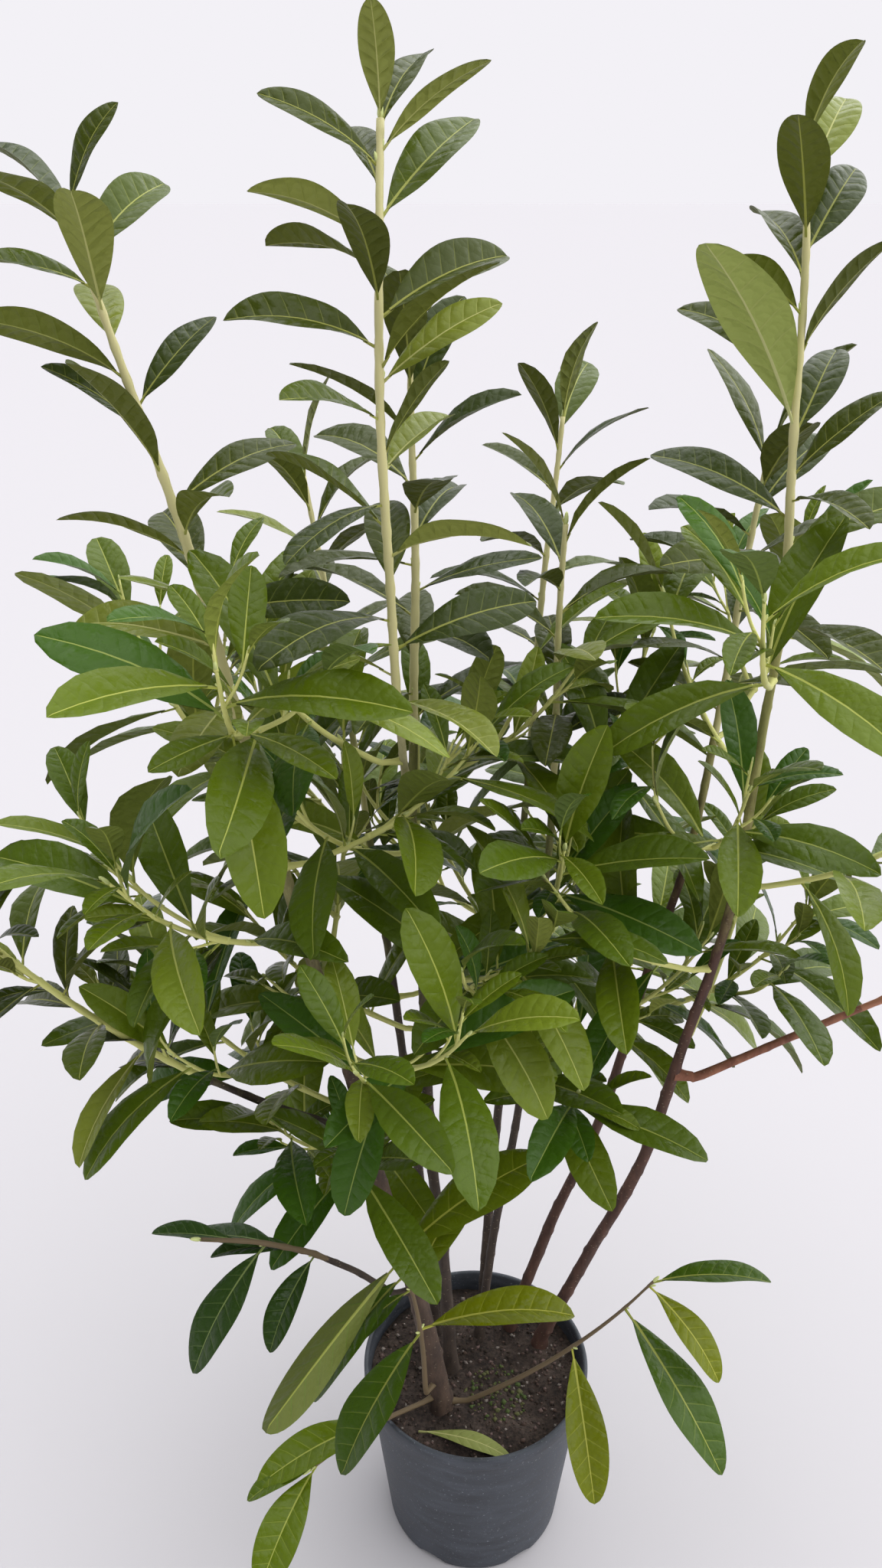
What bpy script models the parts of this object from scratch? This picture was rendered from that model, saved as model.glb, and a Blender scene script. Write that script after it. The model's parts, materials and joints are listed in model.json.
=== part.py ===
"""Cherry laurel shrub in a round nursery pot.

Several stems rise from the soil and end in leafy leaders, with side boughs and leafy shoots.
Metres, +Z up, origin at the middle of the pot's flat underside.
"""

import math
import random

import bmesh
import bpy
import numpy as np
from mathutils import Matrix, Quaternion, Vector
from mathutils.bvhtree import BVHTree

# Pot and soil
POT_HEIGHT = 0.217
POT_TOP_RADIUS = 0.117
POT_BASE_RADIUS = 0.0945
POT_WALL = 0.0020
POT_FLOOR = 0.004
RIM_BAND = 0.016
RIM_LIP = 0.003
RIM_ROUND = 0.0014
BASE_ROUND = 0.004
POT_SIDES = 36
NOTCHES = 8
NOTCH_RADIUS = 0.006
NOTCH_DEPTH = 0.012
NOTCH_SIDES = 10
NOTCH_SQUASH = (1.2, 0.5)
SHARP_FROM = math.radians(35)
SOIL_LEVEL = 0.197

# Growth
CLEAR = 0.0003
STEM_SIDES = 9
BOUGH_SIDES = 8
LIMB_RING = 0.075
TWIG_RING = 0.055
LEAD = 0.022
SWAY = 2.5
SWAY_LENGTH = 0.31
FLARE = 0.35
FLARE_REACH = 0.016
SPIRAL = 144.0
SPIRAL_SWING = 14.0
OPENING = 74.0
CLOSING = 54.0
OPENING_SWING = 9.0
CROWDING = 1.15
FULLNESS = (0.30, 0.85)
SIZE_SWING = (0.88, 1.10)
FLATTENING = 0.65
SKYWARD = 0.9
TILT_SWING = 0.25
SHOOT_SPIRAL = 137.5
SHOOT_BARE = 0.05
FORK_AT = 0.36
FORK_LENGTH = 0.56
FORK_SWING = 52
ROOM_SIDES = 6
NUDGES = (0, 12, -12, 24, -24, 36, -36, 50, -50)
TWIG_RADIUS = 0.0027
TWIG_TIP = 0.0011
LEADER_TIP = 0.0020
TWIG_ROOM = 0.0045
LEAF_MARGIN = 0.0008
LEAF_GAP = 0.0225
LEADER_GAP = 0.019
LEAF_LONG = 0.126
LEADER_LEAF = 0.108
LEAF_SHORT = 0.074
LEAF_ASPECT = (0.32, 0.39)
LEAF_LOW = 0.38
LEAF_HIGH = 0.75
LEAF_SHOULDER = 0.90
LEAF_ARCH = (0.40, 0.85)
LEAF_LIFT = 0.25
LEAF_KEEL = 0.08
LEAF_BACK = 0.0012
ROOT_DEPTH = 0.0006
TIP_INSET = 0.002
TRIES = ((0, 0, 1.0), (22, -8, 1.0), (-22, 8, 1.0), (44, 10, 0.92), (-44, -10, 0.92), (70, 0, 0.85),
         (-70, 0, 0.85))
LOWEST = 0.035
SEED = 7391

# Stems: foot on the soil, compass bearing of the lean, rise in degrees at foot and tip, bare
# length, length of the leafy top, radius at foot and at the top of the bare part. A leaf row is:
# how far along the leafy part, bearing, rise and length of the leaf, and its roll if it has one
STEMS = [
    dict(name="left_stem", foot=(-0.036, -0.042), bearing=-177, rise=(79.4, 76.3),
         bare=0.80, leafy=0.375, girth=(0.0105, 0.0042),
         leaves=[(0.06, -100, 4, 0.110), (0.12, 62, 14, 0.105), (0.18, 172, 14, 0.112, -30),
                 (0.24, -22, 20, 0.105, 30), (0.31, 112, 24, 0.108), (0.37, -169, 30, 0.092, 35),
                 (0.41, -62, 40, 0.098), (0.47, 30, 30, 0.100, 25), (0.53, -118, 54, 0.112),
                 (0.59, -40, 2, 0.082), (0.60, -169, 46, 0.092, -30), (0.66, 44, 42, 0.088, 20),
                 (0.71, -164, 34, 0.096, 40), (0.77, 112, 30, 0.090), (0.83, -86, 52, 0.106),
                 (0.87, -162, 22, 0.076, -30), (0.91, 62, 38, 0.095, 20), (0.95, -112, 32, 0.104),
                 (0.98, 142, 36, 0.098, 20), (1.00, 11, 68, 0.070, 30)]),
    dict(name="centre_stem", foot=(-0.026, 0.004), bearing=150, rise=(84, 91),
         bare=0.74, leafy=0.30, girth=(0.0072, 0.0036)),
    dict(name="middle_stem", foot=(0.006, 0.045), bearing=21, rise=(81.2, 90.4),
         bare=0.68, leafy=0.235, girth=(0.0052, 0.0030)),
    dict(name="red_stem", foot=(0.041, 0.058), bearing=10, rise=(69.6, 87),
         bare=0.74, leafy=0.25, girth=(0.0066, 0.0034)),
    dict(name="right_stem", foot=(0.072, 0.034), bearing=-22, rise=(67.8, 98.3),
         bare=0.86, leafy=0.346, girth=(0.0072, 0.0034),
         leaves=[(0.05, -62, 8, 0.118), (0.11, 100, 14, 0.110), (0.17, -152, 20, 0.115, -20),
                 (0.23, 12, 22, 0.110, 35), (0.29, 160, 30, 0.108, -30), (0.33, -70, 12, 0.088),
                 (0.38, -10, 48, 0.084, 30), (0.40, 89, 24, 0.092), (0.46, 52, 42, 0.096, 20),
                 (0.48, -147, 56, 0.162, 30), (0.56, 150, 40, 0.100, -25), (0.62, -14, 64, 0.088, -30),
                 (0.67, -112, 46, 0.110), (0.70, -156, 34, 0.090, 30), (0.76, 100, 36, 0.094),
                 (0.81, 52, 42, 0.096, 25), (0.84, -116, 48, 0.106), (0.87, -150, 40, 0.100, -20),
                 (0.94, 55, 42, 0.092, 20), (0.97, 120, 36, 0.082), (1.00, -75, 60, 0.074)]),
    dict(name="back_left_stem", foot=(-0.044, 0.052), bearing=128, rise=(83, 73),
         bare=0.62, leafy=0.32, girth=(0.0062, 0.0032)),
    dict(name="back_right_stem", foot=(0.012, 0.086), bearing=68, rise=(83, 78),
         bare=0.66, leafy=0.32, girth=(0.0062, 0.0032)),
]

# Boughs: parent and how far up it, bearing, rise, bare and leafy length, radii, leaf rows
BOUGHS = [
    dict(name="front_leader", parent="centre_stem", at=0.94, bearing=-98, rise=(43.5, 110),
         bare=0.125, leafy=0.428, girth=(0.0036, 0.0032),
         leaves=[(0.08, -48, 6, 0.108), (0.14, 168, 16, 0.112, 30), (0.20, 22, 18, 0.112, 30),
                 (0.26, -128, 14, 0.118), (0.32, 92, 28, 0.102), (0.38, -34, 24, 0.108, -20),
                 (0.43, 150, 30, 0.100, 25), (0.47, -135, -4, 0.086), (0.52, 62, 20, 0.088),
                 (0.54, 14, 60, 0.072, -30), (0.57, -20, 44, 0.078, 30), (0.60, -128, 22, 0.088, -20),
                 (0.65, 2, 38, 0.088, 35), (0.67, -48, 42, 0.112, 15), (0.70, -176, 22, 0.090, -30),
                 (0.74, 36, 26, 0.102, 25), (0.76, -100, 50, 0.088), (0.80, 140, 18, 0.088, 25),
                 (0.84, -174, 30, 0.080, 40), (0.87, 45, 38, 0.103, 30), (0.91, 110, 34, 0.080),
                 (0.94, -172, 38, 0.076, -35), (0.96, -4, 44, 0.078, -30), (0.99, 66, 44, 0.076),
                 (1.00, -105, 80, 0.062)]),
    dict(name="left_bough", parent="left_stem", at=0.49, bearing=188, rise=(26, 56),
         bare=0.15, leafy=0.28, girth=(0.0046, 0.0030)),
    dict(name="low_left_bough", parent="left_stem", at=0.22, bearing=195, rise=(56, 16),
         bare=0.11, leafy=0.13, girth=(0.0038, 0.0028),
         leaves=[(0.10, -122, -22, 0.090), (0.22, 184, 12, 0.080), (0.36, 170, 8, 0.092),
                 (0.44, 206, -6, 0.092), (0.52, 233, -24, 0.120), (0.72, 186, 18, 0.078),
                 (0.96, 238, -26, 0.100), (1.00, 192, 8, 0.085)]),
    dict(name="right_bough", parent="right_stem", at=0.50, bearing=-12, rise=(30, 42),
         bare=0.18, leafy=0.18, girth=(0.0046, 0.0030)),
]

# Low twigs that leave a stem close above the soil, with few and hanging leaves; the one with a
# roll shows its underside
LOW_TWIGS = [
    dict(name="front_twig", parent="left_stem", at=0.055, bearing=-118, rise=(90, 68), leafy=0.26,
         leaves=[(0.44, -128, -22, 0.140), (0.46, 7, 12, 0.150), (0.72, 56, 42, 0.110),
                 (0.74, -150, -20, 0.090), (0.86, -140, -26, 0.128), (0.97, -134, -22, 0.172, 140),
                 (1.00, 27, 30, 0.152)]),
    dict(name="front_low_twig", parent="left_stem", at=0.026, bearing=-146, rise=(24, -20), leafy=0.145,
         leaves=[(0.40, -150, 10, 0.130), (0.90, -152, 4, 0.080), (0.96, -120, -18, 0.110),
                 (1.00, -140, 2, 0.100)]),
    dict(name="low_right_twig", parent="left_stem", at=0.010, bearing=-8, rise=(36, 60), leafy=0.285,
         leaves=[(0.56, -84, -28, 0.132), (0.84, -58, -22, 0.158), (0.98, -48, -18, 0.100),
                 (1.00, -4, 16, 0.108)]),
]

# Side shoots of a limb: how many, the stretch they leave from, bearing of the lowest, lengths
# of the lowest and highest, rise at root and tip, and whether they fork
SIDE_SHOOTS = [
    dict(parent="left_stem", count=7, span=(0.52, 1.0), bearing=170, length=(0.22, 0.19),
         rise=(16, 58), fork=1),
    dict(parent="centre_stem", count=5, span=(0.6, 0.95), bearing=175, length=(0.21, 0.18),
         rise=(16, 62), fork=1),
    dict(parent="front_leader", count=1, span=(0.65, 0.65), bearing=-165, length=(0.17, 0.17),
         rise=(24, 70)),
    dict(parent="middle_stem", count=4, span=(0.58, 0.98), bearing=-5, length=(0.22, 0.19),
         rise=(18, 64)),
    dict(parent="red_stem", count=5, span=(0.46, 0.99), bearing=-140, length=(0.20, 0.20),
         rise=(16, 66), fork=1),
    dict(parent="right_stem", count=5, span=(0.54, 0.97), bearing=60, length=(0.21, 0.19),
         rise=(14, 62)),
    dict(parent="back_left_stem", count=3, span=(0.42, 0.95), bearing=225, length=(0.23, 0.20),
         rise=(16, 60), fork=1),
    dict(parent="back_right_stem", count=3, span=(0.5, 0.95), bearing=20, length=(0.23, 0.20),
         rise=(16, 60), fork=1),
]


def principled(name, colour, roughness, metallic=0.0):
    """One material with the part's plain colour."""
    material = bpy.data.materials.new(name)
    material.use_nodes = True
    shader = material.node_tree.nodes["Principled BSDF"]
    shader.inputs["Base Color"].default_value = (*colour, 1.0)
    shader.inputs["Roughness"].default_value = roughness
    shader.inputs["Metallic"].default_value = metallic
    return material


def new_object(name, mesh, material=None):
    """Link a mesh to the scene under its part's name."""
    part = bpy.data.objects.new(name, mesh)
    bpy.context.scene.collection.objects.link(part)
    if material:
        mesh.materials.append(material)
    return part


def mesh_of(name, points, faces):
    """Closed mesh from points and faces, with its faces turned outwards."""
    mesh = bpy.data.meshes.new(name)
    mesh.from_pydata([tuple(point) for point in points], [], faces)
    work = bmesh.new()
    work.from_mesh(mesh)
    bmesh.ops.recalc_face_normals(work, faces=work.faces)
    bmesh.ops.triangulate(work, faces=work.faces)
    work.to_mesh(mesh)
    work.free()
    return mesh


def turned(name, profile, sides):
    """Solid of revolution: a closed profile of (radius, height), its ends on the axis."""
    points = []
    faces = []
    rings = []
    for radius, height in profile:
        if radius == 0.0:
            rings.append([len(points)])
            points.append((0.0, 0.0, height))
            continue
        rings.append(list(range(len(points), len(points) + sides)))
        for side in range(sides):
            angle = 2.0 * math.pi * side / sides
            points.append((radius * math.cos(angle), radius * math.sin(angle), height))
    for lower, upper in zip(rings, rings[1:]):
        for side in range(sides):
            after = (side + 1) % sides
            if len(lower) == 1:
                faces.append((lower[0], upper[side], upper[after]))
            elif len(upper) == 1:
                faces.append((lower[side], upper[0], lower[after]))
            else:
                faces.append((lower[side], lower[after], upper[after], upper[side]))
    return mesh_of(name, points, faces)


def pot_radius(height):
    """Outside radius of the tapering pot wall."""
    return POT_BASE_RADIUS + (POT_TOP_RADIUS - POT_BASE_RADIUS) * height / POT_HEIGHT


def make_pot():
    """Tapered pot with a floor, a rolled rim and notches under its standing edge."""
    band = POT_HEIGHT - RIM_BAND
    lip = POT_TOP_RADIUS + RIM_LIP
    profile = [
        (0.0, 0.0),
        (POT_BASE_RADIUS - BASE_ROUND, 0.0),
        (pot_radius(0.0) - 0.3 * BASE_ROUND, 0.3 * BASE_ROUND),
        (pot_radius(BASE_ROUND), BASE_ROUND),
        (pot_radius(band), band),
        (lip - RIM_ROUND, band + RIM_ROUND),
        (lip, POT_HEIGHT - RIM_ROUND),
        (lip - RIM_ROUND, POT_HEIGHT),
        (POT_TOP_RADIUS - 0.5 * POT_WALL, POT_HEIGHT),
        (pot_radius(band) - POT_WALL, band),
        (pot_radius(POT_FLOOR) - POT_WALL, POT_FLOOR),
        (0.0, POT_FLOOR),
    ]
    material = principled("pot_plastic", (0.075, 0.088, 0.105), 0.55)
    pot = new_object("pot", turned("pot", profile, POT_SIDES), material)
    cutters = bpy.data.collections.new("notch_cutters")
    bpy.context.scene.collection.children.link(cutters)
    for notch in range(NOTCHES):
        angle = 2.0 * math.pi * (notch + 0.5) / NOTCHES
        work = bmesh.new()
        bmesh.ops.create_cone(work, cap_ends=True, segments=NOTCH_SIDES, radius1=NOTCH_RADIUS,
                              radius2=NOTCH_RADIUS, depth=2.0 * NOTCH_DEPTH)
        lie_down = Matrix.Rotation(math.radians(90), 4, "Y")
        squash = Matrix.Diagonal((1.0, *NOTCH_SQUASH, 1.0))
        place = Matrix.Rotation(angle, 4, "Z") @ Matrix.Translation((POT_BASE_RADIUS, 0.0, 0.0))
        bmesh.ops.transform(work, matrix=place @ squash @ lie_down, verts=work.verts)
        mesh = bpy.data.meshes.new("notch")
        work.to_mesh(mesh)
        work.free()
        cutters.objects.link(bpy.data.objects.new("notch", mesh))
    combine(pot, cutters, "DIFFERENCE")
    pot.data.shade_smooth()
    pot.data.set_sharp_from_angle(angle=SHARP_FROM)


def combine(part, others, operation):
    """Apply one Boolean of a part with a collection, then remove the collection's objects."""
    boolean = part.modifiers.new("combine", "BOOLEAN")
    boolean.operation = operation
    boolean.operand_type = "COLLECTION"
    boolean.collection = others
    boolean.solver = "EXACT"
    view = bpy.context.evaluated_depsgraph_get()
    mesh = bpy.data.meshes.new_from_object(part.evaluated_get(view))
    part.modifiers.clear()
    part.data = mesh
    for other in list(others.objects):
        bpy.data.objects.remove(other)
    bpy.data.collections.remove(others)
    keep_largest_shell(mesh)


def keep_largest_shell(mesh):
    """Drop loose scraps and the walls of sealed hollows: all but the shell with most faces."""
    work = bmesh.new()
    work.from_mesh(mesh)
    bmesh.ops.triangulate(work, faces=work.faces)
    seen = set()
    shells = []
    for face in work.faces:
        if face in seen:
            continue
        shell = [face]
        seen.add(face)
        for member in shell:
            for edge in member.edges:
                for near in edge.link_faces:
                    if near not in seen:
                        seen.add(near)
                        shell.append(near)
        shells.append(shell)
    shells.sort(key=len)
    scraps = [face for shell in shells[:-1] for face in shell]
    bmesh.ops.delete(work, geom=scraps, context="FACES")
    work.to_mesh(mesh)
    work.free()


def make_soil():
    """Plug of compost that fills the pot to just under its rim, flat on top."""
    floor = POT_FLOOR + CLEAR
    profile = [
        (0.0, floor),
        (pot_radius(floor) - POT_WALL - 2.0 * CLEAR, floor),
        (pot_radius(SOIL_LEVEL) - POT_WALL - 2.0 * CLEAR, SOIL_LEVEL),
        (0.0, SOIL_LEVEL),
    ]
    material = principled("compost", (0.035, 0.024, 0.018), 0.95)
    soil = new_object("soil", turned("soil", profile, POT_SIDES), material)
    soil.data.shade_smooth()
    soil.data.set_sharp_from_angle(angle=SHARP_FROM)


def heading(bearing, rise):
    """Unit vector at a compass bearing and a rise over the level, both in degrees."""
    level = math.cos(math.radians(rise))
    return Vector((level * math.cos(math.radians(bearing)),
                   level * math.sin(math.radians(bearing)),
                   math.sin(math.radians(rise))))


def grow_path(start, first, bearing, rise, length, spacing, sway=0.0):
    """Points of an axis: the first heading turns into the bearing, and the rise changes evenly."""
    count = max(2, round((length - LEAD) / spacing))
    steps = [0.5 * LEAD, 0.5 * LEAD] + [(length - LEAD) / count] * count
    point = Vector(start)
    points = [point.copy()]
    run = 0.0
    for step in steps:
        middle = run + 0.5 * step
        wave = sway * math.sin(2.0 * math.pi * middle / SWAY_LENGTH)
        ahead = heading(bearing + 2.0 * wave, rise[0] + (rise[1] - rise[0]) * middle / length + wave)
        point = point + first.lerp(ahead, min(1.0, middle / LEAD)).normalized() * step
        points.append(point.copy())
        run += step
    return points


def runs(points):
    """Distance of each point along an axis."""
    distances = [0.0]
    for a, b in zip(points, points[1:]):
        distances.append(distances[-1] + (b - a).length)
    return distances


def along(points, distance):
    """Point and heading at a distance along an axis."""
    distances = runs(points)
    index = 0
    while index < len(points) - 2 and distances[index + 1] <= distance:
        index += 1
    ahead = (points[index + 1] - points[index]).normalized()
    return points[index] + ahead * (distance - distances[index]), ahead


def tube(name, points, radii, sides, first):
    """Closed tapering limb: rings square to the axis, the first one square to `first`."""
    headings = [(b - a).normalized() for a, b in zip(points, points[1:])]
    headings = [first] + [(a + b).normalized() for a, b in zip(headings, headings[1:])] + [headings[-1]]
    side_way = headings[0].orthogonal().normalized()
    corners = []
    for point, ahead, radius in zip(points, headings, radii):
        side_way = (side_way - ahead * side_way.dot(ahead)).normalized()
        across = ahead.cross(side_way)
        for side in range(sides):
            angle = 2.0 * math.pi * side / sides
            corners.append(point + radius * (side_way * math.cos(angle) + across * math.sin(angle)))
    last = sides * (len(points) - 1)
    faces = [tuple(range(sides)), tuple(range(last, last + sides))]
    for low in range(0, last, sides):
        for side in range(sides):
            after = (side + 1) % sides
            faces.append((low + side, low + after, low + sides + after, low + sides + side))
    return mesh_of(name, corners, faces)


def limb_radius(limb, distance):
    """Radius along the bare part of a limb, with the root flare of a stem."""
    foot, top = limb["girth"]
    flare = FLARE * foot * math.exp(-distance / FLARE_REACH) if "foot" in limb else 0.0
    return foot + (top - foot) * min(1.0, distance / limb["bare"]) ** 0.8 + flare


def make_limb(limb, material, sides):
    """Solid of the bare part of a stem or bough, and the axis of the leafy top that follows it."""
    low, high = limb["rise"]
    total = limb["bare"] + limb["leafy"]
    joint = low + (high - low) * limb["bare"] / total
    axis = grow_path(limb["start"], limb["first"], limb["bearing"], (low, joint), limb["bare"],
                     LIMB_RING, SWAY)
    limb["axis"] = axis
    limb["radii"] = [limb_radius(limb, distance) for distance in runs(axis)]
    mesh = tube(limb["name"], axis, limb["radii"], sides, limb["first"])
    mesh.shade_smooth()
    new_object(limb["name"], mesh, material)
    ahead = (axis[-1] - axis[-2]).normalized()
    limb["top"] = grow_path(axis[-1] + ahead * CLEAR, ahead, limb["bearing"], (joint, high),
                            limb["leafy"], TWIG_RING, SWAY)


def leaf_solid(leaf, margin=0.0):
    """Points and faces of a leaf: flat above, keeled below, drooping from its root to its tip."""
    ahead, face = leaf["ahead"], leaf["face"]
    across = ahead.cross(face)
    half = 0.5 * leaf["length"] * leaf["aspect"]

    def midrib(share):
        return leaf["root"] + leaf["length"] * (ahead * share - face * 0.5 * leaf["arch"] * share ** 2)

    low, high = midrib(LEAF_LOW), midrib(LEAF_HIGH)
    wide = across * (half + margin)
    narrow = across * (LEAF_SHOULDER * half + margin)
    lift = face * margin
    points = [
        leaf["root"] - ahead * (ROOT_DEPTH + margin),
        low + wide + lift,
        low - wide + lift,
        low - face * (LEAF_KEEL * half + LEAF_BACK) - lift,
        high + narrow + lift,
        high - narrow + lift,
        midrib(1.0) + ahead * margin,
    ]
    faces = [(0, 1, 2), (1, 2, 5), (1, 5, 4), (4, 5, 6), (0, 3, 1), (0, 3, 2), (1, 3, 4), (2, 3, 5),
             (3, 4, 6), (3, 5, 6)]
    return points, faces


def make_leaf(shoot, distance, ahead, light, size, rng):
    """A leaf rooted in its shoot's axis, its face to the light; the more it arches, the steeper it starts."""
    aspect, arch = rng.uniform(*LEAF_ASPECT), rng.uniform(*LEAF_ARCH)
    face = (light - ahead * light.dot(ahead)).normalized()
    ahead = (ahead + face * LEAF_LIFT * arch).normalized()
    face = (face - ahead * face.dot(ahead)).normalized()
    return dict(root=along(shoot["axis"], distance)[0], ahead=ahead, face=face, length=size,
                aspect=aspect, arch=arch)


def spiral_leaves(shoot, rng):
    """Leaves of one shoot in a spiral, wide open at its foot and closing round its bud.

    Each comes as a list of places to try, turned a little more to the side each time.
    """
    start = shoot["leaf_from"]
    end = runs(shoot["axis"])[-1]
    count = max(3, round((end - start) / shoot["leaf_gap"]))
    turn = rng.uniform(0.0, 360.0)
    for index in range(count):
        share = index / (count - 1)
        distance = start + (end - start) * (1.0 - (1.0 - share) ** CROWDING) - TIP_INSET * share
        stem = along(shoot["axis"], distance)[1]
        level = 1.0 - abs(stem.z)
        side_way = stem.cross(Vector((0.0, 1.0, 0.0) if level < 0.01 else (0.0, 0.0, 1.0))).normalized()
        upper = side_way.cross(stem)
        turn += SPIRAL + rng.uniform(-SPIRAL_SWING, SPIRAL_SWING)
        opening = OPENING - CLOSING * share ** 3 + rng.uniform(-OPENING_SWING, OPENING_SWING)
        fullness = math.sin(math.pi * (FULLNESS[0] + (FULLNESS[1] - FULLNESS[0]) * share))
        size = (LEAF_SHORT + (shoot["leaf_long"] - LEAF_SHORT) * fullness) * rng.uniform(*SIZE_SWING)
        places = []
        for nudge, closing, scale in TRIES:
            angle = math.radians(turn + nudge)
            out = side_way * math.cos(angle) + upper * math.sin(angle) * (1.0 - FLATTENING * level)
            spread = math.radians(opening + closing)
            ahead = (stem * math.cos(spread) + out.normalized() * math.sin(spread)).normalized()
            light = stem * (1.0 - 0.8 * level) + Vector((0.0, 0.0, SKYWARD))
            light += out * rng.uniform(-TILT_SWING, TILT_SWING)
            places.append(make_leaf(shoot, distance, ahead, light, size * scale, rng))
        yield places


def placed_leaves(shoot, rng):
    """Leaves of a shoot that lists them by their share of its length, bearing, rise and length."""
    end = runs(shoot["axis"])[-1]
    for share, bearing, rise, size, *roll in shoot["leaves"]:
        ahead = heading(bearing, rise)
        light = Vector((0.0, 0.0, 1.0))
        if roll:
            light.rotate(Quaternion(ahead, math.radians(roll[0])))
        distance = end * share - TIP_INSET * share
        yield [make_leaf(shoot, distance, ahead, light, size * scale, rng) for scale in (1.0, 0.85)]


def tree_of(points, faces):
    """Search tree of a small solid."""
    return BVHTree.FromPolygons([tuple(point) for point in points], faces)


def box_of(points):
    """Lowest and highest corner of some points."""
    table = np.array([tuple(point) for point in points])
    return table.min(axis=0), table.max(axis=0)


class Neighbours:
    """Everything grown so far, to ask whether a new piece touches any of it."""

    def __init__(self):
        self.trees = []
        self.owners = []
        self.lows = np.empty((0, 3))
        self.highs = np.empty((0, 3))

    def add(self, owner, points, faces):
        low, high = box_of(points)
        self.trees.append(tree_of(points, faces))
        self.owners.append(owner)
        self.lows = np.vstack([self.lows, low])
        self.highs = np.vstack([self.highs, high])

    def touches(self, points, faces, but=()):
        low, high = box_of(points)
        near = np.all((self.lows <= high) & (self.highs >= low), axis=1)
        tree = tree_of(points, faces)
        for index in np.flatnonzero(near):
            if self.owners[index] not in but and self.trees[index].overlap(tree):
                return True
        return False


def solid_of(mesh):
    """Points and faces of a mesh."""
    return [vertex.co.copy() for vertex in mesh.vertices], [tuple(p.vertices) for p in mesh.polygons]


def grow_limbs(limbs, bark):
    """Make the stems that stand on the soil and the boughs that leave them."""
    for row in STEMS:
        limb = dict(row, start=Vector((*row["foot"], SOIL_LEVEL + CLEAR)), first=Vector((0.0, 0.0, 1.0)))
        make_limb(limb, bark["stem"], STEM_SIDES)
        limbs[row["name"]] = limb
    for row in BOUGHS:
        limb = dict(row)
        limb["start"], limb["first"] = side_root(limbs[row["parent"]], row["at"], row["bearing"])
        make_limb(limb, bark["bough"], BOUGH_SIDES)
        limbs[row["name"]] = limb


def side_root(parent, at, bearing):
    """Where a side shoot leaves its parent: square to it, just clear of its bark."""
    distance = at * parent["bare"]
    middle, stem = along(parent["axis"], distance)
    radius = float(np.interp(distance, runs(parent["axis"]), parent["radii"]))
    level = heading(bearing, 0.0)
    out = (level - stem * level.dot(stem)).normalized()
    return middle + out * (radius + CLEAR), out


def grow_shoots(limbs, neighbours):
    """Lay out the leafy shoots: each limb's own top, the low twigs and the side shoots."""
    shoots = []
    for limb in limbs.values():
        first = (limb["axis"][-1] - limb["axis"][-2]).normalized()
        shoots.append(dict(limb, name="foliage_" + limb["name"] + "_top", axis=limb["top"], first=first,
                           girth=(limb["girth"][1], LEADER_TIP), leaf_from=0.02, leaf_gap=LEADER_GAP,
                           leaf_long=LEADER_LEAF))
    for row in LOW_TWIGS:
        start, first = side_root(limbs[row["parent"]], row["at"], row["bearing"])
        axis = grow_path(start, first, row["bearing"], row["rise"], row["leafy"], TWIG_RING)
        shoots.append(dict(row, name="foliage_" + row["name"], axis=axis, first=first,
                           girth=(TWIG_RADIUS, TWIG_TIP)))
    for shoot in shoots:
        shoot["twig"] = list_twig(shoot, neighbours)
    for row in SIDE_SHOOTS:
        for index in range(row["count"]):
            shoot = side_shoot(row, index, limbs, neighbours)
            if shoot:
                shoot["twig"] = list_twig(shoot, neighbours)
                shoots.append(shoot)
    for shoot in shoots:
        if shoot.get("fork"):
            fork_shoot(shoot, neighbours)
    return shoots


def way_is_free(axis, first, parent, neighbours):
    """Whether a twig along this axis keeps its room from everything but its parent."""
    way = tube("way", axis, [TWIG_ROOM] * len(axis), ROOM_SIDES, first)
    blocked = neighbours.touches(*solid_of(way), but=(parent,))
    bpy.data.meshes.remove(way)
    return not blocked


def side_shoot(row, index, limbs, neighbours):
    """One side shoot in its spiral, turned aside where its way is blocked, or else left out."""
    parent = limbs[row["parent"]]
    share = index / max(1, row["count"] - 1)
    at = row["span"][0] + (row["span"][1] - row["span"][0]) * share
    length = row["length"][0] + (row["length"][1] - row["length"][0]) * share
    for nudge in NUDGES:
        bearing = row["bearing"] + SHOOT_SPIRAL * index + nudge
        start, first = side_root(parent, at, bearing)
        axis = grow_path(start, first, bearing, row["rise"], length, TWIG_RING)
        if way_is_free(axis, first, row["parent"], neighbours):
            return dict(name="foliage_" + row["parent"] + "_" + str(index + 1), axis=axis, first=first,
                        bearing=bearing, rise=row["rise"], girth=(TWIG_RADIUS, TWIG_TIP),
                        leaf_from=SHOOT_BARE, leaf_gap=LEAF_GAP, leaf_long=LEAF_LONG,
                        fork=row.get("fork", 0) * (-1) ** index)
    return None


def fork_shoot(shoot, neighbours):
    """A second twig out of the first, swung to one side and shorter, where nothing is in its way."""
    length = runs(shoot["axis"])[-1]
    start, stem = along(shoot["axis"], FORK_AT * length)
    for swing in (FORK_SWING, 0.6 * FORK_SWING, -FORK_SWING, -0.6 * FORK_SWING):
        bearing = shoot["bearing"] + swing * shoot["fork"]
        first = heading(bearing, shoot["rise"][0])
        axis = grow_path(start, first, bearing, shoot["rise"], FORK_LENGTH * length, TWIG_RING)
        if way_is_free(axis, first, shoot["name"], neighbours):
            side = dict(shoot, axis=axis, first=first, girth=(0.8 * TWIG_RADIUS, TWIG_TIP),
                        leaf_from=0.5 * SHOOT_BARE)
            side["twig"] = list_twig(side, neighbours)
            shoot["side"] = side
            return


def list_twig(shoot, neighbours):
    """The shoot's three-sided stem, listed with the neighbours."""
    distances = runs(shoot["axis"])
    low, high = shoot["girth"]
    radii = [low + (high - low) * distance / distances[-1] for distance in distances]
    mesh = tube(shoot["name"], shoot["axis"], radii, 3, shoot["first"])
    neighbours.add(shoot["name"], *solid_of(mesh))
    return mesh


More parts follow.
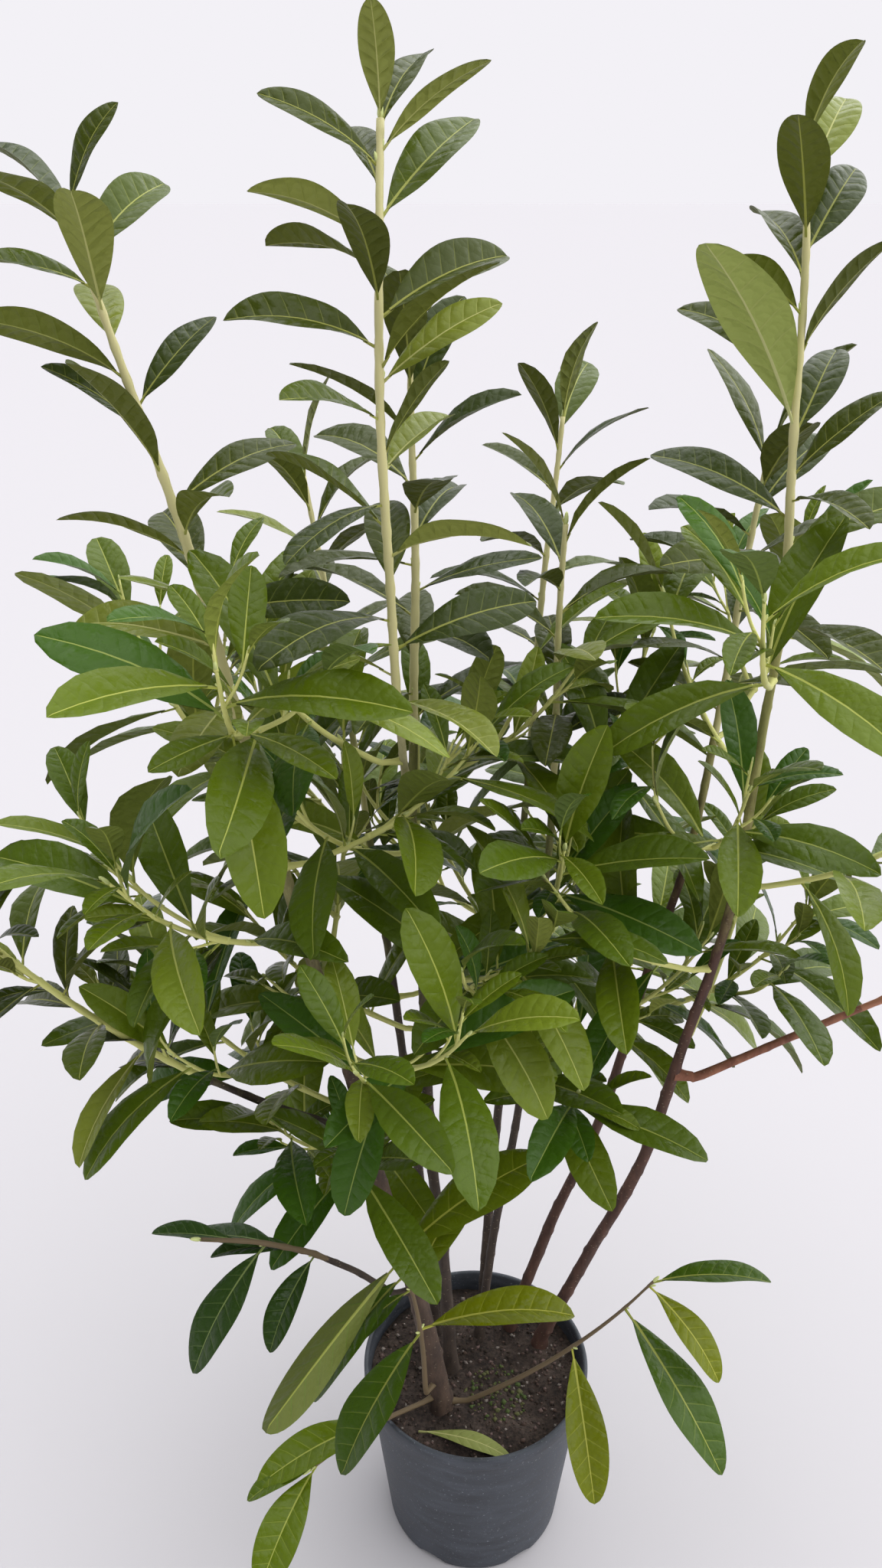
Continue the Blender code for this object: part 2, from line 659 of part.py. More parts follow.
def grow_leaves(shoot, neighbours, rng):
    """Leaves of a shoot: each takes the first place where it touches nothing, or is left out."""
    leaves = []
    for places in (placed_leaves if "leaves" in shoot else spiral_leaves)(shoot, rng):
        for leaf in places:
            points, faces = leaf_solid(leaf, LEAF_MARGIN)
            too_low = min(point.z for point in points) < LOWEST
            if not too_low and not neighbours.touches(points, faces, but=(shoot["name"],)):
                leaves.append(leaf)
                neighbours.add(shoot["name"] + "_leaf", points, faces)
                break
    return leaves


def make_mass(shoot, leaves, material):
    """Join a shoot's stem and leaves into one solid."""
    part = new_object(shoot["name"], shoot["twig"], material)
    others = bpy.data.collections.new(shoot["name"] + "_leaves")
    bpy.context.scene.collection.children.link(others)
    for leaf in leaves:
        mesh = mesh_of("leaf", *leaf_solid(leaf))
        others.objects.link(bpy.data.objects.new("leaf", mesh))
    if "side" in shoot:
        others.objects.link(bpy.data.objects.new("side_twig", shoot["side"]["twig"]))
    combine(part, others, "UNION")


def main():
    for old in list(bpy.data.objects):
        bpy.data.objects.remove(old)
    make_pot()
    make_soil()
    bark = dict(stem=principled("stem_bark", (0.115, 0.082, 0.062), 0.8),
                bough=principled("bough_bark", (0.15, 0.105, 0.07), 0.75))
    green = principled("laurel_leaf", (0.055, 0.145, 0.022), 0.35)
    neighbours = Neighbours()
    limbs = {}
    grow_limbs(limbs, bark)
    for name in ["pot", "soil"] + list(limbs):
        neighbours.add(name, *solid_of(bpy.data.objects[name].data))
    shoots = grow_shoots(limbs, neighbours)
    for index, shoot in enumerate(shoots):
        rng = random.Random(SEED + index)
        leaves = grow_leaves(shoot, neighbours, rng)
        if "side" in shoot:
            leaves += grow_leaves(shoot["side"], neighbours, rng)
        make_mass(shoot, leaves, green)


main()
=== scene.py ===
# Cherry laurel shrub in a round nursery pot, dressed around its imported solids.
# Metres, +Z up, the origin at the middle of the pot's flat underside.

import json
import random

import bpy
import numpy as np
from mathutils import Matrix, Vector
from mathutils.bvhtree import BVHTree

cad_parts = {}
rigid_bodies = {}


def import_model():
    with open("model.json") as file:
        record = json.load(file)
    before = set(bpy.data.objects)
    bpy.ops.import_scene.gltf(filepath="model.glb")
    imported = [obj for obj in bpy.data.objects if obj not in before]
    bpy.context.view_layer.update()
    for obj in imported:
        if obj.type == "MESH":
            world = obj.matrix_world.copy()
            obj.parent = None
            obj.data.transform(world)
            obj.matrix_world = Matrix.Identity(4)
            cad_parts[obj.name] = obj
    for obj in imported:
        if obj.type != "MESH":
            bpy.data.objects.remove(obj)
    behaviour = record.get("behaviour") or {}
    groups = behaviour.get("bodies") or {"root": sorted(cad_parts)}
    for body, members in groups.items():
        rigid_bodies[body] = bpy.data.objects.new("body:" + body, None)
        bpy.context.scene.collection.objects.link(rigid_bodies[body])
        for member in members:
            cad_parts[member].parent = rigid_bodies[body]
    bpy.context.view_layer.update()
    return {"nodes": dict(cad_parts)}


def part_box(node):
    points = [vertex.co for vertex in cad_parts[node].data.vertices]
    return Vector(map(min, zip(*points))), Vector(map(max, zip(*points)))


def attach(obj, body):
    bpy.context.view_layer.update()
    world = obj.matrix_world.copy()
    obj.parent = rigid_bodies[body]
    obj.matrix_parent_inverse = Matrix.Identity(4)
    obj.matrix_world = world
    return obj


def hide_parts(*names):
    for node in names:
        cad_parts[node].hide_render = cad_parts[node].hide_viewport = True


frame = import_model()


# Camera
# It stands 0.94 m in front of the pot's middle and 1.38 m up, and looks down 26.6 degrees on the
# plant, so that the leaders rise towards it and the pot shows the soil over its front rim.
CAMERA_PLACE = (-0.037, -0.939, 1.378)
CAMERA_DOWN = 26.6
FOCAL_PIXELS = 1649
IMAGE_HEIGHT = 2048
SENSOR = 36.0

lens = bpy.data.cameras.new("camera")
lens.sensor_width = SENSOR
lens.lens = SENSOR * FOCAL_PIXELS / IMAGE_HEIGHT
lens.clip_start = 0.05
camera = bpy.data.objects.new("camera", lens)
camera.location = CAMERA_PLACE
camera.rotation_euler = (np.radians(90.0 - CAMERA_DOWN), 0.0, 0.0)
bpy.context.scene.collection.objects.link(camera)
bpy.context.scene.camera = camera


# Pot
# A nursery pot of recycled polypropylene, injection moulded in one piece: a tapering wall, a
# rolled rim band, and a foot with six arched notches that let water out from under it.
POT_HEIGHT = 0.217
POT_TOP = 0.117
POT_BASE = 0.0945
POT_WALL = 0.0020
POT_FLOOR = 0.0095
BAND = 0.016
LIP = 0.003
POT_SIDES = 288
NOTCHES = 6
NOTCH_HALF = 0.0175
NOTCH_HIGH = 0.0085
NOTCH_FROM = 0.0825
FOOT_POINTS = 7


def to_linear(colour):
    """Hex sRGB to linear RGBA: c / 12.92 up to 0.04045, and ((c + 0.055) / 1.055) ** 2.4 above."""
    parts = [int(colour[i:i + 2], 16) / 255.0 for i in (1, 3, 5)]
    return (*[c / 12.92 if c <= 0.04045 else ((c + 0.055) / 1.055) ** 2.4 for c in parts], 1.0)


def per_mm(size):
    """Pattern scale that makes one feature this many millimetres wide."""
    return 1000.0 / size


def add(tree, kind, inputs=None, **settings):
    """Add a node to a tree, or to that of a socket: its settings, and its inputs as plain values or sockets."""
    tree = tree.id_data
    node = tree.nodes.new("ShaderNode" + kind)
    for name, value in settings.items():
        setattr(node, name, value)
    for name, value in (inputs or {}).items():
        if isinstance(value, bpy.types.NodeSocket):
            tree.links.new(value, node.inputs[name])
        else:
            node.inputs[name].default_value = value
    return node


def new_finish(name, colour, roughness, ior):
    """Material with a plain base colour; returns it, its shader and the Object coordinates."""
    material = bpy.data.materials.new(name)
    material.use_nodes = True
    shader = material.node_tree.nodes["Principled BSDF"]
    shader.inputs["Base Color"].default_value = to_linear(colour)
    shader.inputs["Roughness"].default_value = roughness
    shader.inputs["IOR"].default_value = ior
    return material, shader, add(shader, "TexCoord").outputs["Object"]


def feed(shader, name, socket):
    """Link a socket to the shader's input of this name."""
    shader.id_data.links.new(socket, shader.inputs[name])


def blend(share, low, high):
    """Colour, from hex or a socket, that goes from the low one to the high one with a share from 0 to 1."""
    low, high = [to_linear(colour) if isinstance(colour, str) else colour for colour in (low, high)]
    return add(share, "Mix", {0: share, 6: low, 7: high}, data_type="RGBA").outputs[2]


def stretch(place, along_z):
    """Coordinates with z times a factor, which draws patterns out round a stem or along it."""
    return add(place, "Mapping", {"Vector": place, "Scale": (1.0, 1.0, along_z)}).outputs[0]


def noise(place, size, detail, roughness=0.5):
    """Cloudy value about 0.5 whose features are `size` mm wide."""
    return add(place, "TexNoise", {"Vector": place, "Scale": per_mm(size), "Detail": detail,
                                   "Roughness": roughness}).outputs[0]


def cells(place, size):
    """Distance from the middle of cells that are `size` mm wide."""
    return add(place, "TexVoronoi", {"Vector": place, "Scale": per_mm(size)}, feature="F1").outputs["Distance"]


def ramp(value, low, high, to_low=0.0, to_high=1.0):
    """Value moved straight from the span low..high to the span to_low..to_high, and held at its ends."""
    return add(value, "MapRange", {"Value": value, "From Min": low, "From Max": high,
                                   "To Min": to_low, "To Max": to_high}).outputs[0]


def calc(operation, value, *others):
    """One sum on a socket and other sockets or plain values."""
    return add(value, "Math", dict(enumerate((value, *others))), operation=operation).outputs[0]


def bump(height, strength, distance, under=None, invert=False):
    """Normal tilted by a height, `distance` metres for a height of 1, on top of a relief that lies under it."""
    inputs = {"Height": height, "Strength": strength, "Distance": distance}
    if under is not None:
        inputs["Normal"] = under
    return add(height, "Bump", inputs, invert=invert).outputs[0]


def circle(sides):
    """Angles of this many even steps round a circle."""
    return 2.0 * np.pi * np.arange(sides) / sides


def grid_faces(rows, columns):
    """Quads (r,c), (r,c+1), (r+1,c+1), (r+1,c) of a grid whose last column joins its first."""
    row, column = np.meshgrid(np.arange(rows - 1), np.arange(columns), indexing="ij")
    after = (column + 1) % columns
    corners = [row * columns + column, row * columns + after,
               (row + 1) * columns + after, (row + 1) * columns + column]
    return np.stack(corners, axis=-1).reshape(-1, 4)


def new_piece(name, points, faces, materials, slots=None, sharp=None, flat=None):
    """Piece of the plant from an array of points and a list of face arrays, seen from outside anticlockwise. `flat`
    gives each point's place (u, v) on a leaf blade laid flat, as the map "blade"."""
    mesh = bpy.data.meshes.new(name)
    points = np.asarray(points, np.float32).reshape(-1, 3)
    mesh.vertices.add(len(points))
    mesh.vertices.foreach_set("co", points.ravel())
    sizes = np.concatenate([np.full(len(part), part.shape[1]) for part in faces])
    corners = np.concatenate([part.ravel() for part in faces]).astype(np.int32)
    mesh.loops.add(len(corners))
    mesh.loops.foreach_set("vertex_index", corners)
    mesh.polygons.add(len(sizes))
    mesh.polygons.foreach_set("loop_start", (np.cumsum(sizes) - sizes).astype(np.int32))
    for material in materials:
        mesh.materials.append(material)
    if flat is not None:
        mesh.uv_layers.new(name="blade").uv.foreach_set("vector", flat[corners].astype(np.float32).ravel())
    if slots is not None:
        mesh.polygons.foreach_set("material_index", np.asarray(slots, np.int32))
    mesh.update(calc_edges=True)
    mesh.shade_smooth()
    if sharp:
        mesh.set_sharp_from_angle(angle=np.radians(sharp))
    piece = bpy.data.objects.new(name, mesh)
    bpy.context.scene.collection.objects.link(piece)
    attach(piece, "root")
    return piece


def turned_faces(rows, sides):
    """Faces of a turned solid whose first and last points are single poles: two fans and a grid."""
    first = np.arange(sides)
    after = (first + 1) % sides
    low, high = 0, 1 + rows * sides
    bottom = np.stack([np.full(sides, low), 1 + after, 1 + first], axis=-1)
    last = 1 + (rows - 1) * sides
    top = np.stack([np.full(sides, high), last + first, last + after], axis=-1)
    return [grid_faces(rows, sides) + 1, bottom, top]


def wall_radius(height):
    """Outside radius of the pot's wall: it widens evenly from base to top."""
    return POT_BASE + (POT_TOP - POT_BASE) * height / POT_HEIGHT


def pot_points():
    """Profile (r, z) turned round the axis: (r cos a, r sin a, z), the foot lifted by a half-ellipse at each notch."""
    band = POT_HEIGHT - BAND
    lip = POT_TOP + LIP
    wall = [(wall_radius(z), z) for z in (0.004, 0.012, 0.060, 0.120, 0.180, band - 0.0012)]
    profile = np.array([
        (0.060, 0.0), (0.0815, 0.0), (0.0832, 0.0), (0.0885, 0.0), (0.0912, 0.0003), (0.0932, 0.0014), *wall,
        (wall_radius(band) + 0.0006, band), (lip - 0.0008, band + 0.0008), (lip, band + 0.0022),
        (lip, POT_HEIGHT - 0.0022), (lip - 0.0005, POT_HEIGHT - 0.0007), (lip - 0.0016, POT_HEIGHT),
        (POT_TOP - 0.3 * POT_WALL, POT_HEIGHT - 0.0001), (POT_TOP - POT_WALL, POT_HEIGHT - 0.0014),
        (wall_radius(band) - POT_WALL, band), (wall_radius(0.100) - POT_WALL, 0.100),
        (wall_radius(POT_FLOOR) - POT_WALL, POT_FLOOR + 0.001), (0.060, POT_FLOOR)])
    angle = circle(POT_SIDES)
    radius, height = [np.repeat(profile[:, i:i + 1], POT_SIDES, axis=1) for i in (0, 1)]
    spacing = 2.0 * np.pi / NOTCHES
    offset = (np.mod(angle + 0.5 * spacing, spacing) - 0.5 * spacing) * POT_BASE / NOTCH_HALF
    lift = NOTCH_HIGH * np.sqrt(np.clip(1.0 - offset ** 2, 0.0, None))
    foot = (radius > NOTCH_FROM) & (np.arange(len(profile))[:, None] < FOOT_POINTS)
    height = np.where(foot, np.maximum(height, lift), height)
    ripple = 0.0003 * np.sin(3.0 * angle + 0.7) + 0.0002 * np.sin(5.0 * angle + 2.1)
    radius = radius + ripple * np.clip(height / POT_HEIGHT, 0.0, 1.0)
    points = np.stack([radius * np.cos(angle), radius * np.sin(angle), height], axis=-1).reshape(-1, 3)
    return np.vstack([[0.0, 0.0, 0.0], points, [0.0, 0.0, POT_FLOOR]]), len(profile)


# Moulded recycled polypropylene: matt and slightly grainy, so the anthracite wall shows a soft
# sheen, bands of paler bloom that run round it, and fine pale specks of dust and dried splashes.
plastic, shader, place = new_finish("moulded_polypropylene", "#34383e", 0.55, 1.49)
cloud = ramp(noise(stretch(place, 4.0), 42, 6.0, 0.68), 0.35, 0.68)
speck = ramp(noise(place, 2.8, 3.0, 0.7), 0.63, 0.72)
feed(shader, "Base Color", blend(speck, blend(cloud, "#2c3037", "#494e56"), "#82878d"))
feed(shader, "Roughness", ramp(cloud, 0.0, 1.0, 0.48, 0.66))
feed(shader, "Normal", bump(noise(place, 1.1, 2.0), 0.35, 0.0003))

points, rows = pot_points()
pot = new_piece("nursery_pot", points, turned_faces(rows, POT_SIDES), [plastic], sharp=50)
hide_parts("pot")


# Compost
# Peat and bark compost that fills the pot to 20 mm under its rim, watered down uneven, with
# crumbs of bark, pale grit and a little moss on it. It lies loose against the wall.
SOIL_TOP = 0.197
SOIL_GAP = 0.0006
SOIL_RINGS = 44
SOIL_SIDES = 120
SOIL_RELIEF = 0.0026
CRUMBS = 950
CRUMB_SIZE = (0.0009, 0.0029)
CRUMB_SPREAD = (0.0, 0.0, 0.108)
CRUMB_SHARES = (0.40, 0.34, 0.15, 0.11)
CRUMB_ROUGH = (0.65, 1.25)
CRUMB_SHAPE = (0.7, 1.35)
CRUMB_FLAT = 0.62
MOSSES = 120
MOSS_SIZE = (0.0012, 0.0034)
MOSS_SPREAD = (0.022, -0.028, 0.034)


def soil_height(x, y):
    """Height over the mean: five crossed sine waves of 10 to 56 mm, and a fall at the wall."""
    waves = ((105.0, 40.0, 0.3, 0.5), (-60.0, 130.0, 1.9, 0.35), (210.0, -170.0, 4.0, 0.22),
             (330.0, 290.0, 2.2, 0.16), (-480.0, 390.0, 0.9, 0.12))
    height = sum(size * np.sin(a * x + b * y + c) for a, b, c, size in waves)
    return SOIL_RELIEF * height - 0.002 * np.clip((np.hypot(x, y) - 0.085) / 0.03, 0.0, 1.0) ** 2


def soil_points():
    """Rings (r cos a, r sin a, h(x, y)) from the middle to the wall, then the skirt down to the pot's floor."""
    edge = wall_radius(SOIL_TOP) - POT_WALL - SOIL_GAP
    angle = circle(SOIL_SIDES)
    radius = edge * (np.arange(1, SOIL_RINGS + 1) / SOIL_RINGS)[::-1, None]
    x, y = radius * np.cos(angle), radius * np.sin(angle)
    top = np.stack([x, y, SOIL_TOP + soil_height(x, y)], axis=-1)
    low = POT_FLOOR + SOIL_GAP
    foot_radius = wall_radius(low) - POT_WALL - 2.0 * SOIL_GAP
    foot = np.stack([foot_radius * np.cos(angle), foot_radius * np.sin(angle), np.full(SOIL_SIDES, low)], axis=-1)
    peak = [0.0, 0.0, SOIL_TOP + float(soil_height(0.0, 0.0))]
    return np.vstack([[0.0, 0.0, low], foot, top.reshape(-1, 3), peak])


def crumb_points(count, size, spread, rng):
    """Octahedra with corners at random reach, each turned, flattened and set on the soil at a random place."""
    corners = np.array([(1, 0, 0), (0, 1, 0), (-1, 0, 0), (0, -1, 0), (0, 0, 1), (0, 0, -1)], float)
    reach = rng.uniform(*CRUMB_ROUGH, (count, 6, 1)) * rng.uniform(*CRUMB_SHAPE, (count, 1, 3))
    reach = reach * rng.uniform(*size, (count, 1, 1)) * np.array([1.0, 1.0, CRUMB_FLAT])
    turn = rng.uniform(0.0, 2.0 * np.pi, (count, 1))
    shape = corners * reach
    x = shape[..., 0] * np.cos(turn) - shape[..., 1] * np.sin(turn)
    y = shape[..., 0] * np.sin(turn) + shape[..., 1] * np.cos(turn)
    away = spread[2] * np.sqrt(rng.uniform(0.0, 1.0, count))
    around = rng.uniform(0.0, 2.0 * np.pi, count)
    middle_x, middle_y = spread[0] + away * np.cos(around), spread[1] + away * np.sin(around)
    x, y = x + middle_x[:, None], y + middle_y[:, None]
    height = SOIL_TOP + soil_height(middle_x, middle_y)[:, None] + 0.25 * reach[..., 2] + shape[..., 2]
    return np.stack([x, y, height], axis=-1)


CRUMB_FACES = np.array([(0, 1, 4), (1, 2, 4), (2, 3, 4), (3, 0, 4), (1, 0, 5), (2, 1, 5), (3, 2, 5), (0, 3, 5)])


def repeated(faces, count, stride):
    """The same faces for each of `count` copies whose points follow each other."""
    return (faces[None] + stride * np.arange(count)[:, None, None]).reshape(-1, faces.shape[1])


# Damp peat: nearly black-brown and fully matt, mottled at crumb size, with lighter dry patches.
peat, shader, place = new_finish("damp_peat", "#2b211c", 0.95, 1.45)
mottle = ramp(noise(place, 5, 6.0, 0.75), 0.38, 0.66)
dry = ramp(noise(place, 38, 2.0), 0.42, 0.62)
feed(shader, "Base Color", blend(dry, blend(mottle, "#1d1613", "#463932"), blend(mottle, "#2c231f", "#5d4f47")))
feed(shader, "Normal", bump(noise(place, 2.2, 5.0, 0.7), 0.9, 0.0012))

soil = new_piece("compost_bed", soil_points(), turned_faces(SOIL_RINGS + 1, SOIL_SIDES), [peat], sharp=60)
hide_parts("soil")


def crumbly(name, colour, size):
    """Loose grains: a plain colour each, roughness and fine relief from noise at their own grain size."""
    material, shader, place = new_finish(name, colour, 0.9, 1.5)
    grain = noise(place, size, 3.0)
    feed(shader, "Roughness", ramp(grain, 0.0, 1.0, 0.8, 1.0))
    feed(shader, "Normal", bump(grain, 0.6, 0.0005))
    return material


# Chips of composted bark in four tones, pale pumice and pinkish clay grit: they make the soil sparkle
# with small light specks on the dark peat.
grit_finishes = [crumbly("bark_chip_dark", "#32271f", 1.2), crumbly("bark_chip_brown", "#54423a", 1.2),
                 crumbly("clay_grit", "#6e5a55", 0.8), crumbly("pumice_grit", "#8d837c", 0.8)]
rng = np.random.default_rng(51)
points = crumb_points(CRUMBS, CRUMB_SIZE, CRUMB_SPREAD, rng)
slots = np.repeat(rng.choice(4, CRUMBS, p=CRUMB_SHARES), len(CRUMB_FACES))
crumbs = new_piece("bark_crumbs", points, [repeated(CRUMB_FACES, CRUMBS, 6)], grit_finishes, slots)

# Cushions of moss in the damp middle of the pot: dull yellow-green and furry, so they take no shine.
moss_finishes = [crumbly("moss_green", "#4a5a2a", 0.6), crumbly("moss_olive", "#5d5f38", 0.6)]
points = crumb_points(MOSSES, MOSS_SIZE, MOSS_SPREAD, rng)
slots = np.repeat(rng.choice(2, MOSSES), len(CRUMB_FACES))
moss = new_piece("moss_tufts", points, [repeated(CRUMB_FACES, MOSSES, 6)], moss_finishes, slots)


# Stems and boughs
# Seven woody stems rise from the soil and carry four boughs: smooth thin bark with faint wrinkles,
# lenticels and leaf scars, grey-brown below and greener above. Each bough grows out of its stem.
CLEAR = 0.0003
LIMB_RING = 0.075
TWIG_RING = 0.055
LEAD = 0.022
SWAY = 2.5
SWAY_LENGTH = 0.31
FLARE = 0.35
FLARE_REACH = 0.016
BARK_RING = 0.0045
BARK_SIDES = 20
SCAR_GAP = 0.034
SCAR_HALF = 0.0032
SCAR_SWELL = 0.10
SCAR_TURN = 2.51
COLLAR = 0.45
COLLAR_REACH = 0.006
STEM_SUNK = 0.004
BOUGH_SUNK = 0.8

STEM_KEYS = ("name", "foot", "bearing", "rise", "bare", "leafy", "girth")
STEMS = [
    ("left_stem", (-0.036, -0.042), -177, (79.4, 76.3), 0.80, 0.375, (0.0105, 0.0042)),
    ("centre_stem", (-0.026, 0.004), 150, (84, 91), 0.74, 0.30, (0.0072, 0.0036)),
    ("middle_stem", (0.006, 0.045), 21, (81.2, 90.4), 0.68, 0.235, (0.0052, 0.0030)),
    ("red_stem", (0.041, 0.058), 10, (69.6, 87), 0.74, 0.25, (0.0066, 0.0034)),
    ("right_stem", (0.072, 0.034), -22, (67.8, 98.3), 0.86, 0.346, (0.0072, 0.0034)),
    ("back_left_stem", (-0.044, 0.052), 128, (83, 73), 0.62, 0.32, (0.0062, 0.0032)),
    ("back_right_stem", (0.012, 0.086), 68, (83, 78), 0.66, 0.32, (0.0062, 0.0032)),
]
BOUGH_KEYS = ("name", "parent", "at", "bearing", "rise", "bare", "leafy", "girth")
BOUGHS = [
    ("front_leader", "centre_stem", 0.94, -98, (43.5, 110), 0.125, 0.428, (0.0036, 0.0032)),
    ("left_bough", "left_stem", 0.49, 188, (26, 56), 0.15, 0.28, (0.0046, 0.0030)),
    ("low_left_bough", "left_stem", 0.22, 195, (56, 16), 0.11, 0.13, (0.0038, 0.0028)),
    ("right_bough", "right_stem", 0.50, -12, (30, 42), 0.18, 0.18, (0.0046, 0.0030)),
]
OWN = dict(
    left_stem=dict(leaves=[(6, -100, 4, 110), (12, 62, 14, 105), (18, 172, 14, 112, -30), (24, -22, 20, 105, 30),
        (31, 112, 24, 108), (37, -169, 30, 92, 35), (41, -62, 40, 98), (47, 30, 30, 100, 25), (53, -118, 54, 112),
        (59, -40, 2, 82), (60, -169, 46, 92, -30), (66, 44, 42, 88, 20), (71, -164, 34, 96, 40), (77, 112, 30, 90),
        (83, -86, 52, 106), (87, -162, 22, 76, -30), (91, 62, 38, 95, 20), (95, -112, 32, 104), (98, 142, 36, 98, 20),
        (100, 11, 68, 70, 30)]),
    # The tenth leaf here, the big one of 162 mm, takes tint 5 of the young finish: a pale copy whose paleness is
    # painted light shining through it.
    right_stem=dict(tints=(0, 1, 0, 2, 1, 0, 0, 2, 1, 4, 0, 1, 0, 2, 0, 1, 0, 1, 3, 0, 2), leaves=[(5, -62, 8, 118),
        (11, 100, 14, 110), (17, -152, 20, 115, -20), (23, 12, 22, 110, 35), (29, 160, 30, 108, -30),
        (33, -70, 12, 88), (38, -10, 48, 84, 30), (40, 89, 24, 92), (46, 52, 42, 96, 20), (48, -147, 56, 162, 30),
        (56, 150, 40, 100, -25), (62, -14, 64, 88, -30), (67, -112, 46, 110), (70, -156, 34, 90, 30),
        (76, 100, 36, 94), (81, 52, 42, 96, 25), (84, -116, 48, 106), (87, -150, 40, 100, -20), (94, 55, 42, 92, 20),
        (97, 120, 36, 82), (100, -75, 60, 74)]),
    front_leader=dict(leaves=[(8, -48, 6, 108), (14, 168, 16, 112, 30), (20, 22, 18, 112, 30), (26, -128, 14, 118),
        (32, 92, 28, 102), (38, -34, 24, 108, -20), (43, 150, 30, 100, 25), (47, -135, -4, 86), (52, 62, 20, 88),
        (54, 14, 60, 72, -30), (57, -20, 44, 78, 30), (60, -128, 22, 88, -20), (65, 2, 38, 88, 35),
        (67, -48, 42, 112, 15), (70, -176, 22, 90, -30), (74, 36, 26, 102, 25), (76, -100, 50, 88),
        (80, 140, 18, 88, 25), (84, -174, 30, 80, 40), (87, 45, 38, 103, 30), (91, 110, 34, 80),
        (94, -172, 38, 76, -35), (96, -4, 44, 78, -30), (99, 66, 44, 76), (100, -105, 80, 62)]),
    # The low left bough takes the painted_shade finish: its darker, bluer green is painted shade of the low bough under
    # the crown.
    low_left_bough=dict(finish="painted_shade", leaves=[(10, -122, -22, 90), (22, 184, 12, 80), (36, 170, 8, 92),
        (44, 206, -6, 92), (52, 233, -24, 120), (72, 186, 18, 78), (96, 238, -26, 100), (100, 192, 8, 85)]),
)


def unit(vector):
    """A vector, or each row of an array of them, divided by its length."""
    vector = np.asarray(vector, float)
    return vector / np.linalg.norm(vector, axis=-1, keepdims=True)


def heading(bearing, rise):
    """Unit vector (cos r cos b, cos r sin b, sin r) at a bearing b and a rise r over the level, in degrees."""
    turn, lift = np.radians(bearing), np.radians(rise)
    return np.array([np.cos(lift) * np.cos(turn), np.cos(lift) * np.sin(turn), np.sin(lift)])


def grow_path(start, first, bearing, rise, length, spacing, sway=0.0):
    """Points of an axis: the first heading turns into the bearing, and the rise changes evenly along it."""
    count = max(2, round((length - LEAD) / spacing))
    steps = np.array([0.5 * LEAD, 0.5 * LEAD] + [(length - LEAD) / count] * count)
    middles = np.cumsum(steps) - 0.5 * steps
    points = [np.asarray(start, float)]
    for step, middle in zip(steps, middles):
        wave = sway * np.sin(2.0 * np.pi * middle / SWAY_LENGTH)
        ahead = heading(bearing + 2.0 * wave, rise[0] + (rise[1] - rise[0]) * middle / length + wave)
        share = min(1.0, middle / LEAD)
        points.append(points[-1] + unit(first * (1.0 - share) + ahead * share) * step)
    return np.array(points)


def runs(points):
    """Distance of each point along an axis: the sum of the steps before it."""
    return np.concatenate([[0.0], np.cumsum(np.linalg.norm(np.diff(points, axis=0), axis=1))])


def along(points, distance):
    """Point and heading at a distance along an axis, from the step that holds it."""
    distances = runs(points)
    index = int(np.clip(np.searchsorted(distances, distance, side="right") - 1, 0, len(points) - 2))
    ahead = unit(points[index + 1] - points[index])
    return points[index] + ahead * (distance - distances[index]), ahead


def rings_of(points, radii, sides, first):
    """Rings p + r (s cos a + t sin a) square to an axis; s is carried along it without turning, t = ahead x s."""
    steps = unit(np.diff(points, axis=0))
    ahead = np.vstack([first, unit(steps[:-1] + steps[1:]), steps[-1]])
    side_way = np.array(Vector(ahead[0]).orthogonal().normalized())
    sideways = []
    for direction in ahead:
        side_way = unit(side_way - direction * (side_way @ direction))
        sideways.append(side_way)
    sideways = np.array(sideways)[:, None]
    across = np.cross(ahead, sideways[:, 0])[:, None]
    angle = circle(sides)[None, :, None]
    radii = np.broadcast_to(np.asarray(radii, float).reshape(len(points), -1), (len(points), sides))[..., None]
    return points[:, None] + radii * (sideways * np.cos(angle) + across * np.sin(angle))


def limb_radius(limb, distance):
    """Foot radius to top radius by (d / bare) ** 0.8, plus a root flare FLARE r exp(-d / reach) on a stem."""
    foot, top = limb["girth"]
    flare = FLARE * foot * np.exp(-distance / FLARE_REACH) if "foot" in limb else 0.0
    return foot + (top - foot) * np.minimum(1.0, distance / limb["bare"]) ** 0.8 + flare


def side_root(parent, at, bearing):
    """Where a side shoot leaves its parent: square to it, just clear of its bark."""
    distance = at * parent["bare"]
    middle, stem = along(parent["axis"], distance)
    radius = np.interp(distance, runs(parent["axis"]), parent["radii"])
    level = heading(bearing, 0.0)
    out = unit(level - stem * (level @ stem))
    return middle + out * (radius + CLEAR), out


def lay_out_limb(limb):
    """Axis and radii of the bare part of a limb, and the axis of the leafy top that follows it."""
    low, high = limb["rise"]
    joint = low + (high - low) * limb["bare"] / (limb["bare"] + limb["leafy"])
    limb["axis"] = grow_path(limb["start"], limb["first"], limb["bearing"], (low, joint), limb["bare"],
                             LIMB_RING, SWAY)
    limb["radii"] = limb_radius(limb, runs(limb["axis"]))
    ahead = unit(limb["axis"][-1] - limb["axis"][-2])
    limb["top"] = grow_path(limb["axis"][-1] + ahead * CLEAR, ahead, limb["bearing"], (joint, high),
                            limb["leafy"], TWIG_RING, SWAY)


def smooth_axis(points, spacing):
    """Catmull-Rom curve through the points of an axis, with a point about every `spacing`."""
    padded = np.vstack([2.0 * points[0] - points[1], points, 2.0 * points[-1] - points[-2]])
    pieces = []
    for index in range(len(points) - 1):
        a, b, c, d = padded[index:index + 4]
        count = max(1, round(np.linalg.norm(c - b) / spacing))
        t = (np.arange(count) / count)[:, None]
        pieces.append(0.5 * (2.0 * b + (c - a) * t + (2.0 * a - 5.0 * b + 4.0 * c - d) * t ** 2
                             + (3.0 * b - a - 3.0 * c + d) * t ** 3))
    return np.vstack(pieces + [points[-1:]])


